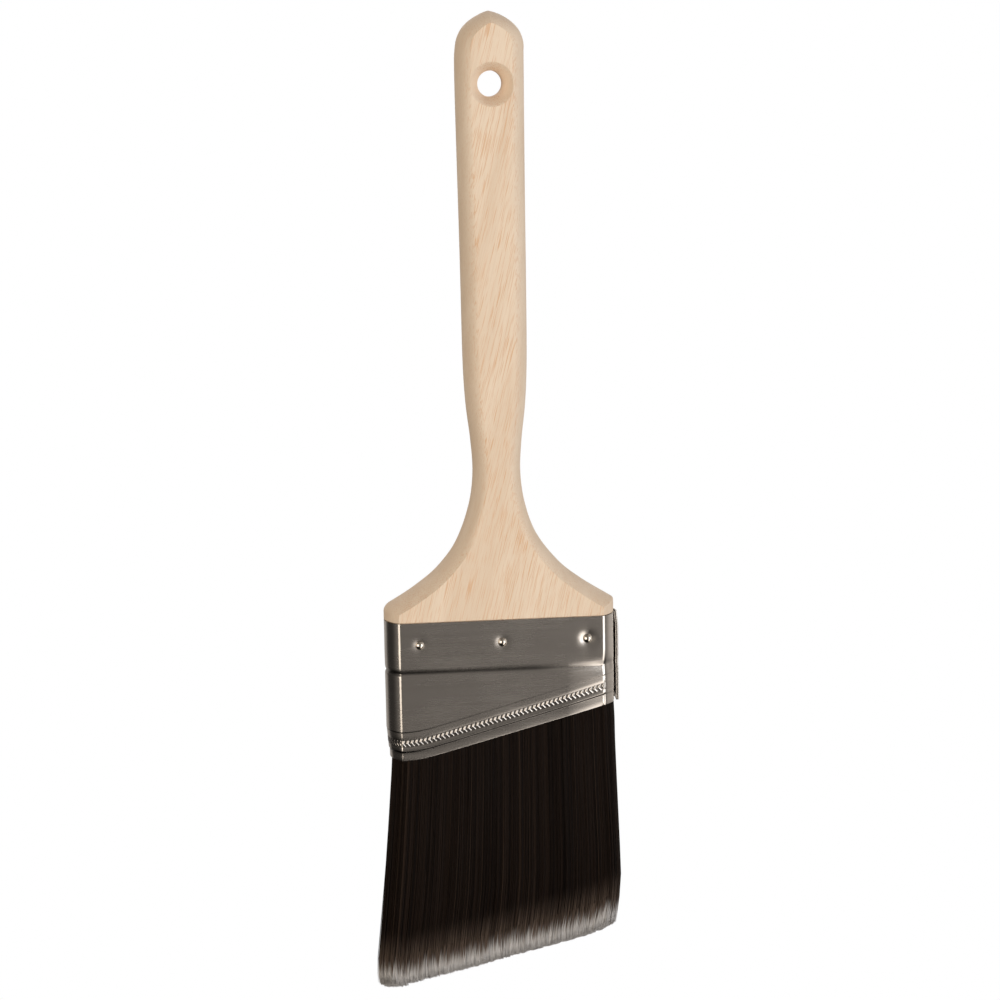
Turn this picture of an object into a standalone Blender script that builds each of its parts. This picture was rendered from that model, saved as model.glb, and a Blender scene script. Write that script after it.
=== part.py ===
"""Angled sash paint brush, 76 mm wide, built as separate solids.

Metres, +Z up. The brush hangs tips down with its front face towards -Y.
The world origin is the centre of the hanging hole. Each piece is modelled from
the ferrule's top edge (z = 0 there) and parented to an empty that lowers it.
"""
import math

import bmesh
import bpy
from mathutils import Vector

# ---- Driving dimensions ---------------------------------------------------
FIT_GAP = 0.0003                # clearance between touching pieces

HOLE_HEIGHT = 0.1737            # hanging hole's centre above the ferrule's top edge
HOLE_THROAT_RADIUS = 0.0042
HOLE_MOUTH_RADIUS = 0.0069
HOLE_THROAT_HALF_LENGTH = 0.0030

FERRULE_HALF_WIDTH = 0.0381     # at the middle of the rounded narrow sides
FERRULE_FLAT_HALF_WIDTH = 0.0338
FERRULE_HALF_DEPTH = 0.00925
SHEET = 0.00045
SIDE_SAGITTA = FERRULE_HALF_WIDTH - FERRULE_FLAT_HALF_WIDTH
SIDE_RADIUS = (FERRULE_HALF_DEPTH ** 2 + SIDE_SAGITTA ** 2) / (2 * SIDE_SAGITTA)
SIDE_CENTRE_X = FERRULE_HALF_WIDTH - SIDE_RADIUS
SIDE_ANGLE = math.asin(FERRULE_HALF_DEPTH / SIDE_RADIUS)

SLANT_START_X = -0.0285         # left of here the slanted lines run level
SLANT_SOFTNESS = 0.0022
SLANT_END_X = FERRULE_FLAT_HALF_WIDTH
GROOVE_Z = -0.0167
GROOVE_HALF_HEIGHT = 0.0009
GROOVE_DEPTH = 0.0004
THIN_LINE = (-0.0292, 0.265)    # height at x = 0 and slope
KNURL_BAND = (-0.0330, 0.265)
LIP_LINE = (-0.0358, 0.268)
BOTTOM_EDGE = (-0.0391, 0.256)
LINE_HALF_HEIGHT = 0.0003
LINE_DEPTH = 0.0002
KNURL_HALF_HEIGHT = 0.0013
KNURL_RISE = 0.00025
LAP_OFFSET = 0.0016             # how far the lapped seam stands out from the side
LAP_START_ANGLE = math.radians(16)
LAP_END_ANGLE = math.radians(-6)
LAP_JOG_ANGLE = math.radians(36)
HEM_RADIUS = 0.00052            # the lap's end is folded under, round this radius
HEM_END_ANGLE = math.radians(4)
CREASE_END_ANGLE = math.radians(10)     # no crease reaches the hem

HANDLE_TOP_Z = 0.1968
ARCH_START_Z = 0.1840
ARCH_HALF_WIDTH = 0.0112
# The pointed top: distance from the arch's centre against degrees above level.
ARCH_REACH = [
    (0, ARCH_HALF_WIDTH), (16, 0.01155), (35, 0.01178), (55, 0.01188),
    (68, 0.01206), (80, 0.01242), (90, HANDLE_TOP_Z - ARCH_START_Z),
]
# Half-width of the handle against height, from the arch down to the shoulder's end.
HANDLE_SIDE = [
    (ARCH_START_Z, ARCH_HALF_WIDTH), (0.140, 0.0109), (0.100, 0.01075), (0.082, 0.0105),
    (0.070, 0.0098), (0.058, 0.0084), (0.0475, 0.00785), (0.037, 0.0092), (0.0265, 0.0130),
    (0.0165, 0.0207), (0.0105, 0.0282), (0.0048, 0.0372),
]
HANDLE_HALF_DEPTH = [
    (0.0, FERRULE_HALF_DEPTH), (0.012, 0.00920), (0.030, 0.00880), (0.050, 0.00840),
    (0.110, 0.00850), (HANDLE_TOP_Z, 0.00800),
]
SHOULDER_BAND = 0.0037
# Width of the worked edge band, outline to flat face, against height.
EDGE_BAND = [
    (0.0, SIDE_SAGITTA), (0.002, SIDE_SAGITTA), (0.0055, SHOULDER_BAND), (0.020, SHOULDER_BAND),
    (0.050, 0.0046), (0.110, 0.0048), (0.180, 0.0046), (HANDLE_TOP_Z, 0.0037),
]
# Shape of the band against height: 0 a crisp facet, 1 fully rounded over.
EDGE_SOFTNESS = [
    (0.012, 0.0), (0.040, 0.75), (0.100, 0.60), (0.165, 0.55), (0.180, 0.45), (0.188, 0.10),
]
LEFT_CORNER_RADIUS = 0.0034
RIGHT_CORNER_RADIUS = 0.0009
TANG_DEPTH = 0.0150
TANG_INSET = SHEET + FIT_GAP

NAIL_HEIGHT = -0.0077
NAIL_X = {"left": -0.0272, "centre": 0.0, "right": 0.0283}
NAIL_SHANK_RADIUS = 0.0007
NAIL_SHANK_LENGTH = 0.0070
NAIL_POINT = 0.0015
NAIL_HEAD_RADIUS = 0.0014
NAIL_HEAD_HEIGHT = 0.0010
NAIL_RIM = 0.0001               # height of the head's edge below its dome

EPOXY_TOP_Z = -TANG_DEPTH - 2 * FIT_GAP
EPOXY_BOTTOM_Z = -0.0194
EPOXY_HALF_DEPTH = 0.0080
EPOXY_HALF_WIDTH = 0.0365

PLUG_TOP_Z = -0.0178
PLUG_LIP_GAP = 0.0030           # the plugs end this far above the ferrule's bottom edge
PLUG_HALF_WIDTH = 0.0300
PLUG_HALF_THICKNESS = 0.0012
PLUG_Y = 0.0031

BUTT_Z = EPOXY_BOTTOM_Z - FIT_GAP
RESERVOIR_TAPER = 0.012         # the packs close up over this length below the plugs
CHISEL_SLOPE = 0.30
CHISEL_START = 0.6              # share of the length from which the chisel trim spreads
# Left and right edges of the filaments, and their half-depth, against height.
FILAMENT_LEFT = [
    (BUTT_Z, -0.0366), (-0.046, -0.0368), (-0.062, -0.0378), (-0.084, -0.0395),
    (-0.104, -0.0415), (-0.118, -0.0428), (-0.127, -0.0424),
]
FILAMENT_RIGHT = [
    (BUTT_Z, 0.0366), (-0.0305, 0.0369), (-0.0345, 0.0379), (-0.052, 0.0387), (-0.074, 0.0395),
    (-0.090, 0.0398), (-0.099, 0.0392), (-0.108, 0.0374),
]
FILAMENT_HALF_DEPTH = [
    (BUTT_Z, 0.0081), (-0.046, 0.0083), (-0.070, 0.0091), (-0.090, 0.0093),
    (-0.112, 0.0085), (-0.128, 0.0078),
]
# The middle pack's tip height across the brush, left to right.
TIP_LINE = [
    (-0.0430, -0.1242), (-0.0405, -0.1260), (-0.0270, -0.1240), (0.0, -0.1180),
    (0.0245, -0.1127), (0.0330, -0.1100), (0.0375, -0.1075),
]

WOOD = ("bare_wood", (0.78, 0.58, 0.41), 0.55, 0.0)
STEEL = ("brushed_stainless", (0.42, 0.40, 0.37), 0.32, 1.0)
NAIL_STEEL = ("polished_steel", (0.60, 0.57, 0.52), 0.18, 1.0)
PLUG_WOOD = ("plug_wood", (0.62, 0.45, 0.30), 0.65, 0.0)
EPOXY = ("epoxy", (0.30, 0.20, 0.10), 0.30, 0.0)
FILAMENT = ("dark_filament", (0.018, 0.012, 0.009), 0.45, 0.0)


# ---- Scene and mesh helpers -----------------------------------------------
def reset_scene():
    for existing in list(bpy.data.objects):
        bpy.data.objects.remove(existing, do_unlink=True)


def make_collection(name):
    collection = bpy.data.collections.new(name)
    bpy.context.scene.collection.children.link(collection)
    return collection


def make_material(spec):
    name, colour, roughness, metallic = spec
    material = bpy.data.materials.new(name)
    material.use_nodes = True
    shader = material.node_tree.nodes["Principled BSDF"]
    shader.inputs["Base Color"].default_value = (*colour, 1.0)
    shader.inputs["Roughness"].default_value = roughness
    shader.inputs["Metallic"].default_value = metallic
    return material


def add_object(name, mesh, collection, frame):
    piece = bpy.data.objects.new(name, mesh)
    collection.objects.link(piece)
    piece.parent = frame
    return piece


def finish_mesh(bm, name, material=None, sharp_degrees=28):
    """Weld, face outwards, smooth all but the crisp edges."""
    bmesh.ops.remove_doubles(bm, verts=bm.verts, dist=1e-6)
    bmesh.ops.recalc_face_normals(bm, faces=bm.faces)
    mesh = bpy.data.meshes.new(name)
    bm.to_mesh(mesh)
    bm.free()
    mesh.shade_smooth()
    mesh.set_sharp_from_angle(angle=math.radians(sharp_degrees))
    if material:
        mesh.materials.append(material)
    return mesh


def curve_value(knots, t):
    """Smooth value at t through (t, value) knots, level past both ends."""
    ordered = sorted(knots)
    if t <= ordered[0][0]:
        return ordered[0][1]
    if t >= ordered[-1][0]:
        return ordered[-1][1]
    last = len(ordered) - 1
    i = max(k for k in range(last) if ordered[k][0] <= t)

    def slope(k):
        lo = ordered[max(k - 1, 0)]
        hi = ordered[min(k + 1, last)]
        return (hi[1] - lo[1]) / (hi[0] - lo[0])

    (t0, v0), (t1, v1) = ordered[i], ordered[i + 1]
    span = t1 - t0
    s = (t - t0) / span
    return (v0 * (1 + 2 * s) * (1 - s) ** 2 + v1 * s * s * (3 - 2 * s)
            + span * s * (1 - s) * (slope(i) * (1 - s) - slope(i + 1) * s))


def smoothstep(low, high, t):
    s = min(max((t - low) / (high - low), 0.0), 1.0)
    return s * s * (3 - 2 * s)


def lerp(a, b, s):
    return a + (b - a) * s


def slanted_z(line, x):
    """Height of a slanted ferrule line above x, level on the narrow sides."""
    z_middle, slope = line
    x = min(x, SLANT_END_X)
    soft = SLANT_SOFTNESS
    x = SLANT_START_X + soft * math.log1p(math.exp((x - SLANT_START_X) / soft))
    return z_middle + slope * x


def band_profile(depth, band, t, softness):
    """Height of the edge band above the mid-plane, t of the way in from the outline."""
    radius = (depth ** 2 + band ** 2) / (2 * band)
    crisp = math.sqrt(radius ** 2 - (radius - band * t) ** 2)
    rounded = depth * math.sqrt(1 - (1 - t) ** 2)
    return lerp(crisp, rounded, softness)


def block_skin(columns, rows, levels, place):
    """Skin of a lattice block: place(u, v, w) puts each lattice point, u and v in
    -1..1, w in 0..1; columns, rows and levels list the lattice values."""
    bm = bmesh.new()
    verts = {}

    def vert(i, j, k):
        key = (i, j, k)
        if key not in verts:
            verts[key] = bm.verts.new(place(columns[i], rows[j], levels[k]))
        return verts[key]

    sizes = (len(columns) - 1, len(rows) - 1, len(levels) - 1)
    for axis in range(3):
        a, b = [n for n in range(3) if n != axis]
        for side in (0, sizes[axis]):
            for i in range(sizes[a]):
                for j in range(sizes[b]):
                    corners = []
                    for di, dj in ((0, 0), (1, 0), (1, 1), (0, 1)):
                        index = [0, 0, 0]
                        index[axis] = side
                        index[a] = i + di
                        index[b] = j + dj
                        corners.append(vert(*index))
                    bm.faces.new(corners)
    return bm


def even_steps(low, high, count):
    return [lerp(low, high, i / count) for i in range(count + 1)]


def boolean_cut(piece, cutter):
    cut = piece.modifiers.new("cut_" + cutter.name, "BOOLEAN")
    cut.operation = "DIFFERENCE"
    cut.solver = "EXACT"
    cut.object = cutter


def hide_cutter(cutter):
    cutter.hide_render = True
    cutter.display_type = "WIRE"


# ---- Handle -----------------------------------------------------------------
def shoulder_frame():
    """The shoulder's end point, its direction outwards and down, and its inward normal."""
    (z1, x1), (z0, x0) = HANDLE_SIDE[-2], HANDLE_SIDE[-1]
    along = Vector((x0 - x1, z0 - z1)).normalized()
    return Vector((x0, z0)), along, Vector((along.y, -along.x))


def arch_point(degrees):
    """Point of the pointed top's outline, from its right foot at 0 to its apex at 90."""
    turn = math.radians(degrees)
    reach = curve_value(ARCH_REACH, degrees)
    return Vector((reach * math.cos(turn), ARCH_START_Z + reach * math.sin(turn)))


def side_outline(corner_radius):
    """Right side of the handle's face, base to apex, as (outline, inner) point pairs.

    inner is where the edge band meets the flat face. Round the shoulder's corner all
    the inner points are one point, where the two bands' inner edges cross."""
    end, along, inward = shoulder_frame()
    outer_x = FERRULE_HALF_WIDTH
    reach = (outer_x - end.x) / along.x
    corner = end + along * reach
    half_turn = (math.pi / 2 - math.atan2(-along.y, along.x)) / 2
    tangent = corner_radius * math.tan(half_turn)
    centre = Vector((outer_x - corner_radius, corner.y - tangent))
    inner_x = FERRULE_FLAT_HALF_WIDTH
    inner_line = corner + inward * SHOULDER_BAND
    inner_corner_z = inner_line.y + (inner_x - inner_line.x) * along.y / along.x
    inner_corner = Vector((inner_x, inner_corner_z))

    pairs = []
    for z in (0.0, min(inner_corner_z, centre.y) * 0.98):
        pairs.append((Vector((outer_x, z)), Vector((inner_x, z))))
    corner_steps = 5
    for i in range(corner_steps + 1):
        angle = 2 * half_turn * i / corner_steps
        arm = Vector((math.cos(angle), math.sin(angle))) * corner_radius
        pairs.append((centre + arm, inner_corner.copy()))

    foot_z = (inner_corner - inward * SHOULDER_BAND).y
    side_heights = [foot_z]
    side_heights += even_steps(foot_z + 0.0022, 0.030, 9)
    side_heights += even_steps(0.034, 0.090, 13)
    side_heights += even_steps(0.102, ARCH_START_Z - 0.006, 6)
    for z in side_heights:
        here = Vector((curve_value(HANDLE_SIDE, z), z))
        step = 0.0004
        widen = curve_value(HANDLE_SIDE, z + step) - curve_value(HANDLE_SIDE, z - step)
        rise = Vector((widen, 2 * step))
        rise.normalize()
        pairs.append((here, here + Vector((-rise.y, rise.x)) * curve_value(EDGE_BAND, z)))

    arch_steps = 10
    for i in range(arch_steps):
        degrees = 90 * i / arch_steps
        here = arch_point(degrees)
        rise = arch_point(degrees + 0.5) - arch_point(degrees - 0.5)
        rise.normalize()
        pairs.append((here, here + Vector((-rise.y, rise.x)) * curve_value(EDGE_BAND, here.y)))
    apex_drop = curve_value(EDGE_BAND, HANDLE_TOP_Z)
    pairs.append((Vector((0.0, HANDLE_TOP_Z)), Vector((0.0, HANDLE_TOP_Z - apex_drop))))
    return pairs


def handle_body():
    """Flat faces, edge band all round, and the tang that goes into the ferrule."""
    band_steps = 5
    fractions = [1 - math.cos(math.pi / 2 * k / band_steps) for k in range(band_steps + 1)]
    bm = bmesh.new()

    def band_row(pair, mirror):
        """Points across the edge from the front face, round the side, to the back face."""
        outer, inner = pair
        row = []
        for sign, order in ((-1, reversed(fractions)), (1, fractions[1:])):
            for t in order:
                spot = outer.lerp(inner, t)
                softness = curve_value(EDGE_SOFTNESS, spot.y)
                band = curve_value(EDGE_BAND, outer.y)
                depth = curve_value(HANDLE_HALF_DEPTH, spot.y)
                y = sign * band_profile(depth, band, t, softness)
                row.append(bm.verts.new((mirror * spot.x, y, spot.y)))
        return row

    right = [band_row(pair, 1) for pair in side_outline(RIGHT_CORNER_RADIUS)]
    left = [band_row(pair, -1) for pair in side_outline(LEFT_CORNER_RADIUS)]
    for rows in (right, left):
        for lower, upper in zip(rows, rows[1:]):
            for k in range(len(lower) - 1):
                bm.faces.new((lower[k], lower[k + 1], upper[k + 1], upper[k]))
    for i in range(len(right) - 1):
        for k in (0, -1):
            bm.faces.new((right[i][k], right[i + 1][k], left[i + 1][k], left[i][k]))

    rim = right[0] + list(reversed(left[0]))
    seat = [bm.verts.new(v.co) for v in rim]
    foot = [bm.verts.new(v.co) for v in rim]
    for vert in seat + foot:
        vert.co.x *= 1 - TANG_INSET / FERRULE_HALF_WIDTH
        vert.co.y *= 1 - TANG_INSET / FERRULE_HALF_DEPTH
    for vert in foot:
        vert.co.z = -TANG_DEPTH
    count = len(rim)
    for i in range(count):
        j = (i + 1) % count
        bm.faces.new((rim[i], rim[j], seat[j], seat[i]))
        bm.faces.new((seat[i], seat[j], foot[j], foot[i]))
    bm.faces.new(foot)
    return bm


def hole_cutter(collection, frame):
    """Turned cutter for the hanging hole: a straight throat that flares to both faces."""
    reach = 0.0120
    face = curve_value(HANDLE_HALF_DEPTH, HOLE_HEIGHT)
    flare_steps = 5
    bm = bmesh.new()
    flare = []
    for i in range(flare_steps + 1):
        along = lerp(HOLE_THROAT_HALF_LENGTH, face, i / flare_steps)
        rise = (along - HOLE_THROAT_HALF_LENGTH) / (face - HOLE_THROAT_HALF_LENGTH)
        flare.append((lerp(HOLE_THROAT_RADIUS, HOLE_MOUTH_RADIUS, rise ** 1.25), along))
    (r0, h0), (r1, h1) = flare[-2:]
    flare.append((r1 + (r1 - r0) / (h1 - h0) * (reach - h1), reach))
    profile = [(0.0, reach)] + list(reversed(flare)) + [(r, -h) for r, h in flare] + [(0.0, -reach)]
    verts = [bm.verts.new((r, 0.0, h)) for r, h in profile]
    for a, b in zip(verts, verts[1:]):
        bm.edges.new((a, b))
    mesh = bpy.data.meshes.new("hang_hole_cutter")
    bm.to_mesh(mesh)
    bm.free()
    cutter = add_object("hang_hole_cutter", mesh, collection, frame)
    cutter.location = (0.0, 0.0, HOLE_HEIGHT)
    cutter.rotation_euler = (math.pi / 2, 0.0, 0.0)
    turn = cutter.modifiers.new("turn", "SCREW")
    turn.steps = 32
    turn.render_steps = 32
    turn.use_merge_vertices = True
    turn.merge_threshold = 1e-5
    hide_cutter(cutter)
    return cutter


def nail_spots():
    """(name, x, side) of each nail; side -1 is the front face, +1 the back."""
    for face, side in (("front", -1), ("back", 1)):
        for place, x in NAIL_X.items():
            yield face + "_" + place, x, side


def nail_hole_cutters(collection, frame):
    """Clearance holes for the nails' shanks, through the sheet and into the tang."""
    cutters = []
    for name, x, side in nail_spots():
        bm = bmesh.new()
        radius = NAIL_SHANK_RADIUS + FIT_GAP
        depth = NAIL_SHANK_LENGTH + 0.0020
        bmesh.ops.create_cone(bm, cap_ends=True, segments=12, radius1=radius, radius2=radius, depth=depth)
        mesh = bpy.data.meshes.new("nail_hole_" + name)
        bm.to_mesh(mesh)
        bm.free()
        cutter = add_object("nail_hole_" + name, mesh, collection, frame)
        outer_end = FERRULE_HALF_DEPTH + 0.0015
        cutter.location = (x, side * (outer_end - depth / 2), NAIL_HEIGHT)
        cutter.rotation_euler = (math.pi / 2, 0.0, 0.0)
        hide_cutter(cutter)
        cutters.append(cutter)
    return cutters


# ---- Ferrule ------------------------------------------------------------------
def ferrule_path():
    """Plan of the sheet's outer face as (point, outward normal, crease share), an open loop.

    It starts under the lap at mid right side and runs along the front, the left side and
    the back. It ends over its own start, standing out by the lap offset, with a hem
    folded under its end."""
    arc_steps = 8
    flat_steps = 15
    path = []

    def arc(side, start, end, steps, offset=lambda angle: 0.0, crease=lambda angle: 1.0):
        for angle in even_steps(start, end, steps):
            normal = Vector((side * math.cos(angle), math.sin(angle)))
            spot = Vector((side * SIDE_CENTRE_X, 0.0)) + normal * (SIDE_RADIUS + offset(angle))
            path.append((spot, normal, crease(angle)))

    def flat(sign):
        edge = sign * FERRULE_FLAT_HALF_WIDTH
        for x in even_steps(-edge, edge, flat_steps)[1:-1]:
            path.append((Vector((x, sign * FERRULE_HALF_DEPTH)), Vector((0.0, sign)), 1.0))

    def lap(angle):
        return LAP_OFFSET * (1 - smoothstep(LAP_JOG_ANGLE, SIDE_ANGLE, angle))

    def crease_on_lap(angle):
        return smoothstep(CREASE_END_ANGLE, LAP_JOG_ANGLE, angle)

    def hem():
        side_centre = Vector((SIDE_CENTRE_X, 0.0))
        lap_radius = SIDE_RADIUS + LAP_OFFSET
        lap_end = Vector((math.cos(LAP_END_ANGLE), math.sin(LAP_END_ANGLE)))
        turn_centre = side_centre + lap_end * (lap_radius - HEM_RADIUS)
        for angle in even_steps(LAP_END_ANGLE, LAP_END_ANGLE - math.pi, 6)[1:]:
            normal = Vector((math.cos(angle), math.sin(angle)))
            path.append((turn_centre + normal * HEM_RADIUS, normal, 0.0))
        for angle in even_steps(LAP_END_ANGLE, HEM_END_ANGLE, 2)[1:]:
            outwards = Vector((math.cos(angle), math.sin(angle)))
            path.append((side_centre + outwards * (lap_radius - 2 * HEM_RADIUS), -outwards, 0.0))

    arc(1, LAP_START_ANGLE, -SIDE_ANGLE, arc_steps)
    flat(-1)
    arc(-1, -SIDE_ANGLE, SIDE_ANGLE, arc_steps)
    flat(1)
    arc(1, SIDE_ANGLE, LAP_END_ANGLE, arc_steps, lap, crease_on_lap)
    hem()
    return path


def ferrule_rows(x):
    """(height, inward depth) of each crease down the sheet above x."""
    rows = [(0.0, 0.0)]
    rows += [(GROOVE_Z + GROOVE_HALF_HEIGHT, 0.0), (GROOVE_Z, GROOVE_DEPTH)]
    rows += [(GROOVE_Z - GROOVE_HALF_HEIGHT, 0.0)]
    thin = slanted_z(THIN_LINE, x)
    rows += [(thin + LINE_HALF_HEIGHT, 0.0), (thin, LINE_DEPTH), (thin - LINE_HALF_HEIGHT, 0.0)]
    knurl = slanted_z(KNURL_BAND, x)
    rows += [(knurl + KNURL_HALF_HEIGHT, 0.0), (knurl + 0.7 * KNURL_HALF_HEIGHT, -KNURL_RISE)]
    rows += [(knurl - 0.7 * KNURL_HALF_HEIGHT, -KNURL_RISE), (knurl - KNURL_HALF_HEIGHT, 0.0)]
    lip = slanted_z(LIP_LINE, x)
    rows += [(lip, LINE_DEPTH), (lip - LINE_HALF_HEIGHT, 0.0)]
    rows += [(slanted_z(BOTTOM_EDGE, x), 0.0)]
    return rows


def make_ferrule(collection, frame, material, cutters):
    bm = bmesh.new()
    grid = []
    for spot, normal, crease_share in ferrule_path():
        column = []
        for z, depth in ferrule_rows(spot.x):
            outer = spot - normal * depth * crease_share
            column.append(bm.verts.new((outer.x, outer.y, min(z, -FIT_GAP))))
        grid.append(column)
    for a, b in zip(grid, grid[1:]):
        for k in range(len(a) - 1):
            bm.faces.new((b[k], b[k + 1], a[k + 1], a[k]))
    mesh = bpy.data.meshes.new("ferrule")
    bm.normal_update()
    bm.to_mesh(mesh)
    bm.free()
    mesh.materials.append(material)
    mesh.shade_smooth()
    mesh.set_sharp_from_angle(angle=math.radians(24))
    ferrule = add_object("ferrule", mesh, collection, frame)
    wall = ferrule.modifiers.new("sheet", "SOLIDIFY")
    wall.thickness = SHEET
    wall.offset = -1.0
    for cutter in cutters:
        boolean_cut(ferrule, cutter)
    return ferrule


# ---- Nails ----------------------------------------------------------------------
def make_nail(name, x, side, collection, frame, material):
    """Turned nail: a domed head outside the sheet, a shank and a point in the tang."""
    dome_steps = 4
    under = FIT_GAP
    dome_foot = under + NAIL_RIM
    dome_height = NAIL_HEAD_HEIGHT - NAIL_RIM
    profile = [(0.0, dome_foot + dome_height)]
    for i in range(1, dome_steps + 1):
        angle = math.pi / 2 * i / dome_steps
        profile.append((NAIL_HEAD_RADIUS * math.sin(angle), dome_foot + dome_height * math.cos(angle)))
    profile.append((NAIL_HEAD_RADIUS, under))
    profile.append((NAIL_SHANK_RADIUS, under))
    profile.append((NAIL_SHANK_RADIUS, NAIL_POINT - NAIL_SHANK_LENGTH))
    profile.append((0.0, -NAIL_SHANK_LENGTH))
    bm = bmesh.new()
    verts = [bm.verts.new((r, 0.0, h)) for r, h in profile]
    for a, b in zip(verts, verts[1:]):
        bm.edges.new((a, b))
    mesh = bpy.data.meshes.new("nail_" + name)
    bm.to_mesh(mesh)
    bm.free()
    mesh.materials.append(material)
    nail = add_object("nail_" + name, mesh, collection, frame)
    nail.location = (x, side * FERRULE_HALF_DEPTH, NAIL_HEIGHT)
    nail.rotation_euler = (-side * math.pi / 2, 0.0, 0.0)
    turn = nail.modifiers.new("turn", "SCREW")
    turn.steps = 12
    turn.render_steps = 12
    turn.use_merge_vertices = True
    turn.merge_threshold = 1e-5
    turn.use_smooth_shade = True
    return nail


# ---- Pieces inside the ferrule -----------------------------------------------------
def plug_solid(side, grow):
    """A flat plug between two packs, its lower edge parallel to the ferrule's."""
    def place(u, v, w):
        x = u * (PLUG_HALF_WIDTH + grow)
        y = side * PLUG_Y + v * (PLUG_HALF_THICKNESS + grow)
        bottom = slanted_z(BOTTOM_EDGE, x) + PLUG_LIP_GAP
        return x, y, lerp(PLUG_TOP_Z + grow, bottom, w)
    return block_skin(even_steps(-1, 1, 8), [-1, 1], [0, 1], place)


def make_plug(name, side, collection, frame, material):
    return add_object(name, finish_mesh(plug_solid(side, 0.0), name, material), collection, frame)


def make_epoxy(collection, frame, material, cut_collection):
    """The set resin over the filaments' butt ends, pocketed for the plugs."""
    sagitta = SIDE_SAGITTA * EPOXY_HALF_DEPTH / FERRULE_HALF_DEPTH

    def place(u, v, w):
        x = u * (EPOXY_HALF_WIDTH - sagitta * v * v)
        return x, v * EPOXY_HALF_DEPTH, lerp(EPOXY_TOP_Z, EPOXY_BOTTOM_Z, w)

    bm = block_skin(even_steps(-1, 1, 2), even_steps(-1, 1, 8), [0, 1], place)
    epoxy = add_object("epoxy_setting", finish_mesh(bm, "epoxy_setting", material), collection, frame)
    for name, side in (("plug_pocket_front", -1), ("plug_pocket_rear", 1)):
        pocket = add_object(name, finish_mesh(plug_solid(side, FIT_GAP), name), cut_collection, frame)
        hide_cutter(pocket)
        boolean_cut(epoxy, pocket)
    return epoxy


# ---- Filaments --------------------------------------------------------------------
def pack_bounds(pack, x, z):
    """Signed (near, far) depth of a pack at (x, z), from its inner to its outer face.

    The packs stand apart only round the plugs: they close up below them, and at once
    beyond their ends."""
    plug_end = slanted_z(BOTTOM_EDGE, x) + PLUG_LIP_GAP
    below = smoothstep(plug_end, plug_end - RESERVOIR_TAPER, z)
    beyond = smoothstep(PLUG_HALF_WIDTH + 0.0008, PLUG_HALF_WIDTH + 0.0028, abs(x))
    open_gap = PLUG_HALF_THICKNESS + FIT_GAP
    half_gap = lerp(open_gap, FIT_GAP / 2, max(below, beyond))
    if pack == "middle":
        return -(PLUG_Y - half_gap), PLUG_Y - half_gap
    side = -1 if pack == "front" else 1
    return side * (PLUG_Y + half_gap), side * curve_value(FILAMENT_HALF_DEPTH, z)


def filament_point(pack, u, v, w):
    """Point of a pack: u across the brush, v through the pack, w from butt to tip."""
    share = (u + 1) / 2
    tip_z = curve_value(TIP_LINE, lerp(TIP_LINE[0][0], TIP_LINE[-1][0], share))
    z = lerp(BUTT_Z, tip_z, w)
    left = curve_value(FILAMENT_LEFT, z)
    right = curve_value(FILAMENT_RIGHT, z)
    near, far = pack_bounds(pack, lerp(left, right, share), z)
    y = lerp(near, far, (v + 1) / 2)
    rounding = SIDE_SAGITTA * (y / curve_value(FILAMENT_HALF_DEPTH, z)) ** 2
    x = lerp(left + rounding, right - rounding, share)
    tip_lift = CHISEL_SLOPE * abs(y) * smoothstep(CHISEL_START, 1.0, w)
    return x, y, z + tip_lift


def make_pack(pack, collection, frame, material):
    name = "filament_pack_" + pack
    across = [-1, -0.96, -0.91, -0.84, -0.7, -0.45, -0.15, 0.15, 0.45, 0.7, 0.84, 0.91, 0.96, 1]
    levels = [0, 0.08, 0.16, 0.22, 0.28, 0.35, 0.45, 0.58, 0.7, 0.8, 0.88, 0.95, 1]
    bm = block_skin(across, even_steps(-1, 1, 4), levels,
                    lambda u, v, w: filament_point(pack, u, v, w))
    return add_object(name, finish_mesh(bm, name, material), collection, frame)


# ---- Assembly -----------------------------------------------------------------------
def build():
    reset_scene()
    parts = make_collection("paint_brush")
    cutters = make_collection("paint_brush_cutters")
    frame = bpy.data.objects.new("ferrule_top_frame", None)
    frame.location = (0.0, 0.0, -HOLE_HEIGHT)
    parts.objects.link(frame)

    nail_holes = nail_hole_cutters(cutters, frame)
    handle_mesh = finish_mesh(handle_body(), "handle", make_material(WOOD))
    handle = add_object("handle", handle_mesh, parts, frame)
    boolean_cut(handle, hole_cutter(cutters, frame))
    for cutter in nail_holes:
        boolean_cut(handle, cutter)

    make_ferrule(parts, frame, make_material(STEEL), nail_holes)
    nail_material = make_material(NAIL_STEEL)
    for name, x, side in nail_spots():
        make_nail(name, x, side, parts, frame, nail_material)

    plug_material = make_material(PLUG_WOOD)
    make_plug("spacer_plug_front", -1, parts, frame, plug_material)
    make_plug("spacer_plug_rear", 1, parts, frame, plug_material)
    make_epoxy(parts, frame, make_material(EPOXY), cutters)
    filament_material = make_material(FILAMENT)
    for pack in ("front", "middle", "rear"):
        make_pack(pack, parts, frame, filament_material)


build()
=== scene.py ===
"""Looks for the angled sash paint brush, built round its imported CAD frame.

Metres, +Z up, front face towards -Y. Shapes are modelled from the ferrule's top edge
(z = 0 there) and lowered into the frame, whose origin is the hanging hole's centre.
"""

import math
from functools import reduce

import bmesh
import bpy
import numpy as np
from mathutils import Matrix, Vector


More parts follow.
